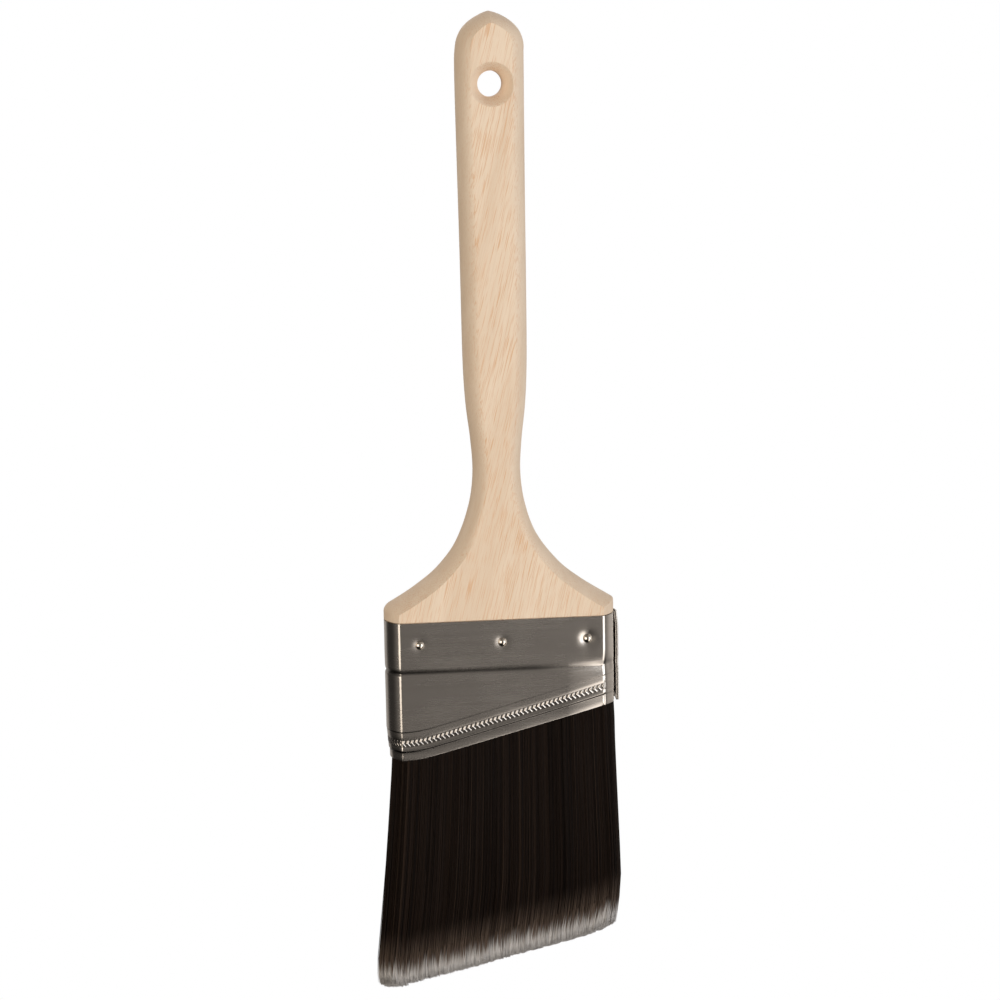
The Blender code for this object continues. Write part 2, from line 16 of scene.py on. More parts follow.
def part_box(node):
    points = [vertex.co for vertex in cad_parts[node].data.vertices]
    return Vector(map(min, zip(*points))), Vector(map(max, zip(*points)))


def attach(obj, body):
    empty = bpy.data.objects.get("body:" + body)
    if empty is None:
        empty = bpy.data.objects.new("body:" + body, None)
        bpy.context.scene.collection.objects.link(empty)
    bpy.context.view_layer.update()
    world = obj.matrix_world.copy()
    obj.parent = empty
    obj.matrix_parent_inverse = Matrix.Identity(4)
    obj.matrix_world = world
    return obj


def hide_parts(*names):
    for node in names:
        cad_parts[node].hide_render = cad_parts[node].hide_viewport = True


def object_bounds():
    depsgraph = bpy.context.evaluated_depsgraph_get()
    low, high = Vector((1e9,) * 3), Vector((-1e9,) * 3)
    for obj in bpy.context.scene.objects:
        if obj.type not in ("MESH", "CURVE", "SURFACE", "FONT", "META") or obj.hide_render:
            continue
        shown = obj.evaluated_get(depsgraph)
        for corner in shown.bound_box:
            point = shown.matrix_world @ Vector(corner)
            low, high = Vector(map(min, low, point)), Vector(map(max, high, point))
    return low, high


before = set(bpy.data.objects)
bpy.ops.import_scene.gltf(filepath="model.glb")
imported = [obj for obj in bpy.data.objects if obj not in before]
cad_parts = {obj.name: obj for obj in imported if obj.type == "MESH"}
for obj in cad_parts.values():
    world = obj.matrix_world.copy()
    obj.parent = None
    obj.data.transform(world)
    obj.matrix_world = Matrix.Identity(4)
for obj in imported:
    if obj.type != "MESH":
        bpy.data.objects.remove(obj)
CAD_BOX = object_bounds()

# ---- Sizes read from the frame -----------------------------------------------
FIT_GAP = 0.0003
FERRULE_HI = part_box("ferrule")[1]
HANDLE_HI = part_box("handle")[1]
TOP_EDGE_Z = FERRULE_HI.z + FIT_GAP
HOLE_HEIGHT = -TOP_EDGE_Z
HANDLE_TOP_Z = HANDLE_HI.z + HOLE_HEIGHT
FERRULE_HALF_WIDTH = HANDLE_HI.x
FERRULE_HALF_DEPTH = HANDLE_HI.y

# ---- Sizes repeated from the design ------------------------------------------
# The groove, the softness of the handle's edges, the filaments' outline and the tip line
# are a little finer here than in the CAD.
HOLE_THROAT_RADIUS = 0.0042
HOLE_MOUTH_RADIUS = 0.0069
HOLE_THROAT_HALF_LENGTH = 0.0030

FERRULE_FLAT_HALF_WIDTH = 0.0338
SHEET = 0.00045
SIDE_SAGITTA = FERRULE_HALF_WIDTH - FERRULE_FLAT_HALF_WIDTH
SIDE_RADIUS = (FERRULE_HALF_DEPTH ** 2 + SIDE_SAGITTA ** 2) / (2 * SIDE_SAGITTA)
SIDE_CENTRE_X = FERRULE_HALF_WIDTH - SIDE_RADIUS

SLANT_START_X = -0.0285
SLANT_SOFTNESS = 0.0022
SLANT_END_X = FERRULE_FLAT_HALF_WIDTH
GROOVE_Z = -0.0172
THIN_LINE = (-0.0292, 0.265)
KNURL_BAND = (-0.0330, 0.265)
LIP_LINE = (-0.0358, 0.268)
BOTTOM_EDGE = (-0.0391, 0.256)

ARCH_START_Z = 0.1840
ARCH_HALF_WIDTH = 0.0112
ARCH_REACH = [                      # (degrees above level, distance from the arch's centre)
    (0, ARCH_HALF_WIDTH), (16, 0.01155), (35, 0.01178), (55, 0.01188),
    (68, 0.01206), (80, 0.01242), (90, 0.0128),
]
HANDLE_SIDE = [
    (ARCH_START_Z, ARCH_HALF_WIDTH), (0.140, 0.0109), (0.100, 0.01075), (0.082, 0.0105),
    (0.070, 0.0098), (0.058, 0.0084), (0.0475, 0.00785), (0.037, 0.0092), (0.0265, 0.0130),
    (0.0165, 0.0207), (0.0105, 0.0282), (0.0048, 0.0372),
]
HANDLE_HALF_DEPTH = [
    (0.0, FERRULE_HALF_DEPTH), (0.012, 0.00920), (0.030, 0.00880), (0.050, 0.00840),
    (0.110, 0.00850), (HANDLE_TOP_Z, 0.00800),
]
SHOULDER_BAND = 0.0037
EDGE_BAND = [
    (0.0, SIDE_SAGITTA), (0.002, SIDE_SAGITTA), (0.0055, SHOULDER_BAND), (0.020, SHOULDER_BAND),
    (0.050, 0.0046), (0.110, 0.0048), (0.180, 0.0046), (HANDLE_TOP_Z, 0.0037),
]
EDGE_SOFTNESS = [                   # 0 a crisp facet, 1 a quarter ellipse
    (0.009, 0.0), (0.020, 0.40), (0.031, 0.85), (0.060, 0.75), (0.100, 0.60), (0.165, 0.55),
    (0.180, 0.45), (0.188, 0.10),
]
LEFT_TRIM = [                       # (height, how much narrower the left side is)
    (0.0030, 0.0), (0.0065, 0.00050), (0.0115, 0.00065), (0.0215, 0.00055), (0.0275, 0.0),
    (0.0320, -0.00010), (0.0380, 0.0), (0.0900, 0.00025), (0.1150, 0.00025), (0.1500, 0.0),
    (0.1820, 0.0), (0.1865, 0.00050), (HANDLE_TOP_Z, 0.00050),
]
APEX_HALF_WIDTH = 0.0040            # the trim fades out over this width at the apex
LEFT_CORNER_RADIUS = 0.0034
RIGHT_CORNER_RADIUS = 0.0009
TANG_DEPTH = 0.0150
TANG_INSET = SHEET + FIT_GAP

NAIL_HEIGHT = -0.0077
NAIL_X = {"left": -0.0272, "centre": 0.0, "right": 0.0283}
NAIL_HEAD_RADIUS = 0.0014
NAIL_SHANK_RADIUS = 0.0007

FILAMENT_LEFT = [
    (-0.0197, -0.0361), (-0.046, -0.0366), (-0.062, -0.0377), (-0.084, -0.0395),
    (-0.104, -0.0415), (-0.118, -0.0428), (-0.127, -0.0424),
]
FILAMENT_RIGHT = [
    (-0.0197, 0.0366), (-0.0288, 0.0371), (-0.0306, 0.0381), (-0.046, 0.0385), (-0.074, 0.0394),
    (-0.090, 0.0398), (-0.099, 0.0390), (-0.108, 0.0374),
]
FILAMENT_HALF_DEPTH = [
    (-0.0197, 0.0081), (-0.046, 0.0083), (-0.070, 0.0091), (-0.090, 0.0093),
    (-0.112, 0.0085), (-0.128, 0.0078),
]
TIP_LINE = [
    (-0.0430, -0.1255), (-0.0408, -0.1264), (-0.0320, -0.1245), (-0.0120, -0.1207), (0.0, -0.1180),
    (0.0245, -0.1128), (0.0330, -0.1104), (0.0375, -0.1082),
]
CHISEL_SLOPE = 0.30
TIP_HALF_DEPTH = 0.0080


# ---- Number helpers, for single values and whole arrays ----------------------
def curve_value(knots, t):
    """Smooth value at t through (t, value) knots, level past both ends."""
    ordered = sorted(knots)
    ts = np.array([k[0] for k in ordered])
    vs = np.array([k[1] for k in ordered])
    slopes = np.empty(len(ts))
    slopes[1:-1] = (vs[2:] - vs[:-2]) / (ts[2:] - ts[:-2])
    slopes[0] = (vs[1] - vs[0]) / (ts[1] - ts[0])
    slopes[-1] = (vs[-1] - vs[-2]) / (ts[-1] - ts[-2])
    t = np.clip(np.asarray(t, float), ts[0], ts[-1])
    i = np.clip(np.searchsorted(ts, t, side="right") - 1, 0, len(ts) - 2)
    span = ts[i + 1] - ts[i]
    s = (t - ts[i]) / span
    value = (vs[i] * (1 + 2 * s) * (1 - s) ** 2 + vs[i + 1] * s * s * (3 - 2 * s)
             + span * s * (1 - s) * (slopes[i] * (1 - s) - slopes[i + 1] * s))
    return float(value) if value.ndim == 0 else value


def smoothstep(low, high, t):
    s = np.clip((np.asarray(t, float) - low) / (high - low), 0.0, 1.0)
    return s * s * (3 - 2 * s)


def lerp(a, b, s):
    return a + (b - a) * s


def even_steps(low, high, count):
    return [lerp(low, high, i / count) for i in range(count + 1)]


def slanted_z(line, x):
    """Height of a slanted ferrule line above x, level on the narrow sides."""
    z_middle, slope = line
    x = np.minimum(np.asarray(x, float), SLANT_END_X)
    soft = SLANT_SOFTNESS
    x = SLANT_START_X + soft * np.log1p(np.exp((x - SLANT_START_X) / soft))
    return z_middle + slope * x


# ---- Objects and meshes ------------------------------------------------------
def new_object(name, data):
    made = bpy.data.objects.new(name, data)
    bpy.context.scene.collection.objects.link(made)
    return made


def mesh_from_bmesh(name, bm):
    mesh = bpy.data.meshes.new(name)
    bm.to_mesh(mesh)
    bm.free()
    return mesh


# ---- Camera ------------------------------------------------------------------
CAMERA_AZIMUTH = math.radians(-6.5)
CAMERA_ELEVATION = math.radians(9.42)
CAMERA_ROLL = math.radians(-1.03)
CAMERA_DISTANCE = 0.9855
CAMERA_TARGET = Vector((0.00108, 0.0, TOP_EDGE_Z + 0.03808))
CAMERA_LENS_MM = 108.0


def add_camera():
    a, e, r = CAMERA_AZIMUTH, CAMERA_ELEVATION, CAMERA_ROLL
    back = Vector((math.sin(a) * math.cos(e), -math.cos(a) * math.cos(e), math.sin(e)))
    level = Vector((0, 0, 1)).cross(back).normalized()
    upward = back.cross(level)
    right = math.cos(r) * level + math.sin(r) * upward
    up = -math.sin(r) * level + math.cos(r) * upward
    data = bpy.data.cameras.new("camera")
    data.lens = CAMERA_LENS_MM
    data.sensor_width = 36.0
    data.clip_start = 0.05
    data.clip_end = 50.0
    camera = new_object("camera", data)
    turn = Matrix((right, up, back)).transposed()
    camera.matrix_world = Matrix.Translation(CAMERA_TARGET + back * CAMERA_DISTANCE) @ turn.to_4x4()
    bpy.context.scene.camera = camera


# ---- Shader helpers ----------------------------------------------------------
class Shader:
    """A node tree with short calls: a value given for an input may be a socket to link."""

    def __init__(self, owner):
        owner.use_nodes = True
        self.tree = owner.node_tree

    def node(self, kind, inputs=None, **settings):
        made = self.tree.nodes.new("ShaderNode" + kind)
        for name, value in settings.items():
            setattr(made, name, value)
        for name, value in (inputs or {}).items():
            self.feed(made.inputs[name], value)
        return made

    def feed(self, socket, value):
        if isinstance(value, bpy.types.NodeSocket):
            self.tree.links.new(value, socket)
        elif isinstance(value, tuple) and len(value) == 3 and socket.type == "RGBA":
            socket.default_value = (*value, 1.0)
        else:
            socket.default_value = value

    def math(self, operation, a, b=0.0):
        return self.node("Math", {0: a, 1: b}, operation=operation).outputs[0]

    def plus(self, *terms):
        return reduce(lambda a, b: self.math("ADD", a, b), terms)

    def times(self, *factors):
        return reduce(lambda a, b: self.math("MULTIPLY", a, b), factors)

    def ramp(self, low, high, value, to_low=0.0, to_high=1.0):
        """Smooth step of value from low..high onto to_low..to_high."""
        made = self.node("MapRange", {"Value": value, "From Min": low, "From Max": high,
                                      "To Min": to_low, "To Max": to_high},
                         interpolation_type="SMOOTHSTEP")
        return made.outputs[0]

    def mix(self, factor, a, b):
        return self.node("Mix", {0: factor, 6: a, 7: b}, data_type="RGBA").outputs[2]

    def noise(self, scale, detail, rough=0.5, turn=(0.0, 0.0, 0.0), shift=(0.0, 0.0, 0.0)):
        """Noise over the object's own coordinates, turned and shifted, then scaled."""
        place = self.node("TexCoord").outputs["Object"]
        turned = self.node("Mapping", {"Vector": place, "Rotation": turn, "Location": shift})
        scaled = self.node("Mapping", {"Vector": turned.outputs[0], "Scale": scale})
        made = self.node("TexNoise", {"Vector": scaled.outputs[0], "Scale": 1.0,
                                      "Detail": detail, "Roughness": rough})
        return made.outputs["Fac"]

    def bump(self, height, strength, distance):
        return self.node("Bump", {"Height": height, "Strength": strength,
                                  "Distance": distance}).outputs[0]

    def attribute(self, name):
        return self.node("Attribute", attribute_name=name).outputs["Fac"]

    def surface(self, **values):
        """Feeds the surface's inputs, written with _ for each space."""
        for name, value in values.items():
            self.feed(self.tree.nodes["Principled BSDF"].inputs[name.replace("_", " ")], value)

    def white_to_camera(self, kind, others):
        """Plain white of a kind to the camera, and the shader others to all other rays."""
        white = self.node(kind, {"Color": (1.0, 1.0, 1.0), "Strength": 1.0}).outputs[0]
        camera_ray = self.node("LightPath").outputs["Is Camera Ray"]
        return self.node("MixShader", {0: camera_ray, 1: others, 2: white}).outputs[0]


def new_material(name):
    material = bpy.data.materials.new(name)
    return material, Shader(material)


GRAIN_LEAN = math.radians(14)       # the grain rises to the right, off the handle's axis


def wood_material(name, light, dark, fleck, fleck_amount):
    """Bare sanded wood: broad tone drift, short leaning tan flecks and fine pores."""
    material, s = new_material(name)
    turn = (0.0, -GRAIN_LEAN, 0.0)
    broad = s.noise((60, 60, 8), 3.0, 0.55, turn)
    rings = s.noise((240, 160, 6), 2.0, 0.5, turn, (0.3, 0, 0))
    fibres = s.noise((2400, 2400, 60), 2.0, 0.5, turn, (0.5, 0, 0))
    vessels = s.noise((4300, 4300, 110), 1.0, 0.5, turn)
    patches = s.noise((300, 200, 30), 2.0, 0.5, turn, (0.7, 0, 0))
    pores = s.noise((5200, 5200, 420), 2.0, 0.6, turn, (0.1, 0, 0))
    tone = s.plus(s.times(broad, 0.6), s.times(rings, 0.4))
    tone = s.plus(s.times(tone, 0.8), s.times(fibres, 0.2))
    colour = s.mix(s.ramp(0.38, 0.62, tone), dark, light)
    normal = s.node("NewGeometry").outputs["Normal"]
    sideways = s.math("ABSOLUTE", s.node("SeparateXYZ", {0: normal}).outputs["X"])
    flecks = s.times(s.ramp(0.52, 0.66, vessels), s.ramp(0.30, 0.55, patches, 0.45, 0.9),
                     s.ramp(0.30, 0.85, sideways, 1.0, 0.25))
    colour = s.mix(s.times(flecks, fleck_amount), colour, fleck)
    colour = s.mix(s.times(s.ramp(0.60, 0.74, pores), 0.25), colour, fleck)
    height = s.math("SUBTRACT", s.times(fibres, 0.5), s.times(flecks, 0.6))
    s.surface(Base_Color=colour, Roughness=s.ramp(0.2, 0.8, pores, 0.54, 0.68),
              Normal=s.bump(height, 0.30, 0.00005), Specular_IOR_Level=0.3)
    return material


def steel_material(name, light, dark, roughness, anisotropy, brush):
    """Stainless steel, its brushing running level round the ferrule."""
    material, s = new_material(name)
    lines = s.noise((45, 45, 4200), 3.0, 0.6)
    long_lines = s.noise((9, 9, 900), 2.0, 0.5, shift=(0.2, 0, 0))
    smudge = s.noise((60, 60, 90), 3.0)
    shade = s.plus(s.times(lines, 0.3), s.times(long_lines, 0.7))
    colour = s.mix(s.ramp(0.30, 0.70, shade), dark, light)
    # Painted shade: a share per point, set on the ferrule's mesh, darkens the steel to near black in
    # its creases, round the chevrons and on the groove's upper wall.
    painted_crease_shade = s.attribute("painted_crease_shade")
    colour = s.mix(painted_crease_shade, colour, (0.030, 0.027, 0.025))
    rough = s.plus(s.ramp(0.3, 0.7, lines, roughness, roughness + 0.03),
                   s.ramp(0.4, 0.8, smudge, 0.0, 0.03))
    s.surface(Base_Color=colour, Roughness=rough, Metallic=1.0)
    if brush:
        s.surface(Normal=s.bump(lines, brush, 0.00001))
    if anisotropy:
        around = s.node("Tangent", direction_type="RADIAL", axis="Z").outputs[0]
        s.surface(Anisotropic=anisotropy, Anisotropic_Rotation=0.25, Tangent=around)
    return material


def filament_material(name):
    """Dark brown filament with a whitish split tip; 'tip' is the distance from the
    tip in metres and 'strand' a number that differs from filament to filament."""
    material, s = new_material(name)
    tip, strand = s.attribute("tip"), s.attribute("strand")
    dapple = s.noise((900, 900, 60), 2.0)
    body = s.mix(s.ramp(0.0, 0.85, strand), (0.0030, 0.0012, 0.0007), (0.0135, 0.0068, 0.0038))
    body = s.mix(s.ramp(0.90, 1.0, strand), body, (0.045, 0.027, 0.017))
    spread = s.math("FRACT", s.times(strand, 7.3))
    brown = s.times(s.ramp(0.019, 0.005, tip), s.ramp(1.0, 0.0, spread, 0.1, 1.0))
    body = s.mix(brown, body, (0.155, 0.112, 0.086))
    reach = s.math("DIVIDE", tip, s.plus(s.times(spread, 0.0030), 0.0028))
    pale = s.mix(s.ramp(0.30, 0.70, dapple), (0.595, 0.570, 0.553), (0.665, 0.640, 0.622))
    colour = s.mix(s.ramp(1.75, 0.7, reach), body, pale)
    s.surface(Base_Color=colour, Roughness=s.ramp(0.0, 0.008, tip, 0.8, 0.5),
              Specular_IOR_Level=0.10)
    return material


# ---- Mesh helpers ------------------------------------------------------------
def mesh_from_arrays(name, points, quads, triangles=(), polygons=(), attributes=None):
    """Mesh from arrays, lowered so that the ferrule's top edge is where the frame has it."""
    mesh = bpy.data.meshes.new(name)
    points = np.asarray(points, np.float64).copy()
    points[:, 2] += TOP_EDGE_Z
    quads = np.asarray(quads, np.int32).reshape(-1, 4)
    triangles = np.asarray(triangles, np.int32).reshape(-1, 3)
    loops = np.concatenate([quads.ravel(), triangles.ravel()]
                           + [np.asarray(p, np.int32) for p in polygons]).astype(np.int32)
    sizes = np.concatenate([np.full(len(quads), 4), np.full(len(triangles), 3),
                            [len(p) for p in polygons]]).astype(np.int32)
    starts = np.concatenate([[0], np.cumsum(sizes)[:-1]]).astype(np.int32)
    mesh.vertices.add(len(points))
    mesh.vertices.foreach_set("co", points.astype(np.float32).ravel())
    mesh.loops.add(len(loops))
    mesh.loops.foreach_set("vertex_index", loops)
    mesh.polygons.add(len(sizes))
    mesh.polygons.foreach_set("loop_start", starts)
    mesh.update(calc_edges=True)
    mesh.validate()
    for attribute, values in (attributes or {}).items():
        layer = mesh.attributes.new(attribute, "FLOAT", "POINT")
        layer.data.foreach_set("value", np.asarray(values, np.float32))
    return mesh


def add_piece(name, mesh, material, slot, *nodes):
    """A shown piece that rides on the brush's one body and stands for CAD nodes."""
    piece = new_object(name, mesh)
    mesh.materials.clear()
    mesh.materials.append(material)
    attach(piece, "root")
    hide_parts(*nodes)


def smooth_with_creases(mesh, degrees):
    mesh.shade_smooth()
    mesh.set_sharp_from_angle(angle=math.radians(degrees))


# ---- Handle ------------------------------------------------------------------
def band_profile(depth, band, t, softness):
    """Height of the edge band above the mid-plane, t of the way in from the outline."""
    radius = (depth ** 2 + band ** 2) / (2 * band)
    crisp = math.sqrt(radius ** 2 - (radius - band * t) ** 2)
    rounded = depth * math.sqrt(1 - (1 - t) ** 2)
    return lerp(crisp, rounded, softness)


def side_outline(corner_radius):
    """Right side of the handle's face, base to apex, as (outline, inner) point pairs,
    inner being where the edge band meets the flat face."""
    (z1, x1), (z0, x0) = HANDLE_SIDE[-2], HANDLE_SIDE[-1]
    end = Vector((x0, z0))
    along = Vector((x0 - x1, z0 - z1)).normalized()
    inward = Vector((along.y, -along.x))
    outer_x = FERRULE_HALF_WIDTH
    corner = end + along * ((outer_x - end.x) / along.x)
    half_turn = (math.pi / 2 - math.atan2(-along.y, along.x)) / 2
    centre = Vector((outer_x - corner_radius, corner.y - corner_radius * math.tan(half_turn)))
    inner_x = FERRULE_FLAT_HALF_WIDTH
    inner_line = corner + inward * SHOULDER_BAND
    inner_corner = Vector((inner_x, inner_line.y + (inner_x - inner_line.x) * along.y / along.x))

    pairs = []
    for z in even_steps(0.0, min(inner_corner.y, centre.y) * 0.98, 3):
        pairs.append((Vector((outer_x, z)), Vector((inner_x, z))))
    corner_steps = 10
    for i in range(corner_steps + 1):
        angle = 2 * half_turn * i / corner_steps
        arm = Vector((math.cos(angle), math.sin(angle))) * corner_radius
        pairs.append((centre + arm, inner_corner.copy()))

    foot_z = (inner_corner - inward * SHOULDER_BAND).y
    side_heights = even_steps(foot_z, 0.034, 30)
    side_heights += even_steps(0.035, 0.090, 36)[1:]
    side_heights += even_steps(0.090, ARCH_START_Z - 0.001, 34)[1:]
    for z in side_heights:
        step = 0.0004
        here = Vector((curve_value(HANDLE_SIDE, z), z))
        widen = curve_value(HANDLE_SIDE, z + step) - curve_value(HANDLE_SIDE, z - step)
        rise = Vector((widen, 2 * step)).normalized()
        inner = here + Vector((-rise.y, rise.x)) * curve_value(EDGE_BAND, z)
        inner.y = max(inner.y, inner_corner.y)
        pairs.append((here, inner))

    def arch_point(degrees):
        turn = math.radians(degrees)
        return Vector((math.cos(turn), math.sin(turn))) * curve_value(ARCH_REACH, degrees)

    arch_centre = Vector((0.0, ARCH_START_Z))
    arch_steps = 30
    for i in range(arch_steps + 1):
        degrees = 90 * i / arch_steps
        here = arch_centre + arch_point(degrees)
        rise = (arch_point(degrees + 0.5) - arch_point(degrees - 0.5)).normalized()
        inward = Vector((-rise.y, rise.x))
        inner = here + inward * curve_value(EDGE_BAND, here.y)
        if i == arch_steps:
            here.x = 0.0
            inner.x = 0.0
        inner.x = max(inner.x, 0.0)
        pairs.append((here, inner))
    return pairs


def bridge(bm, rows):
    """Quads between each row of vertices and the next."""
    for lower, upper in zip(rows, rows[1:]):
        for k in range(len(lower) - 1):
            bm.faces.new((lower[k], lower[k + 1], upper[k + 1], upper[k]))


def handle_bmesh():
    """The handle with flat faces, an edge band all round and the hidden tang."""
    band_steps = 12
    face_columns = 6
    fractions = [1 - math.cos(math.pi / 2 * k / band_steps) for k in range(band_steps + 1)]
    bm = bmesh.new()

    def band_row(pair, mirror):
        """Points across the edge from the front face, round the side, to the back face."""
        outer, inner = pair
        row = []
        for sign, order in ((-1, reversed(fractions)), (1, fractions[1:])):
            for t in order:
                spot = outer.lerp(inner, t)
                softness = curve_value(EDGE_SOFTNESS, spot.y)
                band = curve_value(EDGE_BAND, outer.y)
                depth = curve_value(HANDLE_HALF_DEPTH, spot.y)
                y = sign * band_profile(depth, band, t, softness)
                x = spot.x
                if mirror < 0:
                    x -= curve_value(LEFT_TRIM, spot.y) * float(smoothstep(0.0, APEX_HALF_WIDTH, x))
                row.append(bm.verts.new((mirror * x, y, spot.y)))
        return row

    right = [band_row(pair, 1) for pair in side_outline(RIGHT_CORNER_RADIUS)]
    left = [band_row(pair, -1) for pair in side_outline(LEFT_CORNER_RADIUS)]
    bridge(bm, right)
    bridge(bm, left)
    lowest_rungs = []
    for k in (0, -1):
        ladder = []
        for r, l in zip(right, left):
            shares = even_steps(0.0, 1.0, face_columns)[1:-1]
            inside = [bm.verts.new(r[k].co.lerp(l[k].co, share)) for share in shares]
            ladder.append([r[k]] + inside + [l[k]])
        bridge(bm, ladder)
        lowest_rungs.append(ladder[0][1:-1])

    front_rung, back_rung = lowest_rungs
    rim = right[0] + back_rung + left[0][::-1] + front_rung[::-1]
    seat = [bm.verts.new(v.co) for v in rim]
    foot = [bm.verts.new(v.co) for v in rim]
    for vert in seat + foot:
        vert.co.x *= 1 - TANG_INSET / FERRULE_HALF_WIDTH
        vert.co.y *= 1 - TANG_INSET / FERRULE_HALF_DEPTH
    for vert in foot:
        vert.co.z = -TANG_DEPTH
    bridge(bm, [ring + ring[:1] for ring in (rim, seat, foot)])
    bm.faces.new(foot)
    bmesh.ops.remove_doubles(bm, verts=bm.verts, dist=1e-6)
    bmesh.ops.recalc_face_normals(bm, faces=bm.faces)
    return bm


def lathe_bmesh(profile, segments):
    """Closed solid turned about Z from (radius, height) points, first and last on the axis."""
    bm = bmesh.new()
    rings = []
    for radius, height in profile:
        if radius == 0.0:
            rings.append([bm.verts.new((0.0, 0.0, height))])
            continue
        turns = [2 * math.pi * i / segments for i in range(segments)]
        spots = [(radius * math.cos(a), radius * math.sin(a), height) for a in turns]
        rings.append([bm.verts.new(spot) for spot in spots])
    for upper, lower in zip(rings, rings[1:]):
        for i in range(segments):
            j = (i + 1) % segments
            places = ((upper, i), (lower, i), (lower, j), (upper, j))
            corners = [ring[k % len(ring)] for ring, k in places]
            bm.faces.new(list(dict.fromkeys(corners)))
    bmesh.ops.recalc_face_normals(bm, faces=bm.faces)
    return bm


def hole_cutter():
    """Turned cutter for the hanging hole: a throat that flares to softly broken rims."""
    reach = 0.0120                      # half-length, past both faces
    face = curve_value(HANDLE_HALF_DEPTH, HOLE_HEIGHT)
    flare_steps = 14
    break_start, break_width = 0.88, 0.00025
    flare = []
    for i in range(flare_steps + 1):
        along = lerp(HOLE_THROAT_HALF_LENGTH, face, i / flare_steps)
        rise = (along - HOLE_THROAT_HALF_LENGTH) / (face - HOLE_THROAT_HALF_LENGTH)
        rim_break = break_width * max(0.0, (rise - break_start) / (1 - break_start)) ** 2
        flare.append((lerp(HOLE_THROAT_RADIUS, HOLE_MOUTH_RADIUS, rise ** 1.25) + rim_break, along))
    (r0, h0), (r1, h1) = flare[-2:]
    flare.append((r1 + (r1 - r0) / (h1 - h0) * (reach - h1), reach))
    profile = [(0.0, reach)] + flare[::-1] + [(r, -h) for r, h in flare] + [(0.0, -reach)]
    cutter = new_object("hole_cutter", mesh_from_bmesh("hole_cutter", lathe_bmesh(profile, 96)))
    cutter.rotation_euler = (math.pi / 2, 0.0, 0.0)
    return cutter


def make_handle(material):
    bm = handle_bmesh()
    bmesh.ops.translate(bm, verts=bm.verts, vec=(0.0, 0.0, TOP_EDGE_Z))
    rough = new_object("handle_before_drilling", mesh_from_bmesh("wooden_handle", bm))
    cutter = hole_cutter()
    drill = rough.modifiers.new("drill", "BOOLEAN")
    drill.operation = "DIFFERENCE"
    drill.solver = "EXACT"
    drill.object = cutter
    bpy.context.view_layer.update()
    graph = bpy.context.evaluated_depsgraph_get()
    drilled = bpy.data.meshes.new_from_object(rough.evaluated_get(graph))
    bpy.data.objects.remove(rough)
    bpy.data.objects.remove(cutter)
    smooth_with_creases(drilled, 22)
    add_piece("wooden_handle", drilled, material, "handle_wood", "handle")


# ---- Ferrule -----------------------------------------------------------------
FRONT_PITCH = 0.00014               # spacing of the grid's columns
BACK_PITCH = 0.00020
BEND_RADIUS = {"left": 0.0012, "right": 0.0017}     # at the upright folds
LAP_OFFSET = 0.0016
LAP_START_ANGLE = math.radians(16)
LAP_END_ANGLE = math.radians(-6)
LAP_JOG_ANGLE = math.radians(36)
HEM_RADIUS = 0.00052                # the lap's end is folded under, round this radius
HEM_END_ANGLE = math.radians(4)
CREASE_END_ANGLE = math.radians(10)
LAP_TUCK = 0.00045                  # how much less the lap stands out at its top
LAP_WAIST = 0.00012                 # and at the groove's height
LAP_CORNER = 0.0016                 # size of the rounded top corner at the lap's end
LAP_CORNER_RUN = 0.0040
CHEVRON_PITCH = 0.00145
CHEVRON_REACH = 0.00116             # half the band's height
CHEVRON_RISE = 0.00013
CHEVRON_SWEEP = {"upper": 0.40, "lower": 0.90}      # how far the arms lean back
CHEVRON_SHARPNESS = 5
CHEVRON_BED = 0.00008               # how far the band is pressed in between the ridges
GROOVE_REACH = 0.00069              # height in which the groove's depth falls to a third
GROOVE_DEPTH = 0.00042
GROOVE_FADE_X = (0.018, 0.030)      # the groove gets shallower between these places
THIN_STEP = (0.00035, 0.00009)      # height and depth of the small step inwards
LIP_STEP = (0.00090, 0.00030)
BELOW_LINE_TILT = 0.012             # the sheet draws in below the thin line
DIMPLE_RADIUS = {"left": 0.0019, "centre": 0.0019, "right": 0.0024}
DIMPLE_DEPTH = {"left": 0.00026, "centre": 0.00030, "right": 0.00050}
ROLL_START_X = 0.0215               # the front panel rolls in from here to its right fold
ROLL_HEIGHTS = (-0.0132, -0.0176)   # and from none to all of it between these heights
ROLL_EASING = (-0.0178, -0.0205)    # it eases off again between these
ROLL_DEPTH = 0.00092
SWAY = 0.000035                     # how uneven the hand-pressed sheet is
HEM_PRESS = 0.00026                 # the hem's round nose is pressed this much flatter
LIP_PINCH = 0.00058                 # the left narrow side draws in at the lip
LIP_TUCK = 0.00006                  # and so does the bottom edge, all round
NAIL_ROWS_REACH = 0.0034            # the grid's rows are close together this far from
GROOVE_ROWS_REACH = 0.0021          # the nails, the groove, the lines and the band
LINE_ROWS_REACH = 0.0005
BAND_ROWS_REACH = 0.0014


def fold_place(side):
    """Where one side's folds sit: the angle at which they leave the narrow side's arc, and
    the distance of their centres from the middle in x and in y."""
    radius = BEND_RADIUS[side]
    fold_y = FERRULE_HALF_DEPTH - radius
    bend_x = math.sqrt((SIDE_RADIUS - radius) ** 2 - fold_y ** 2)
    return math.atan2(fold_y, bend_x), SIDE_CENTRE_X + bend_x, fold_y


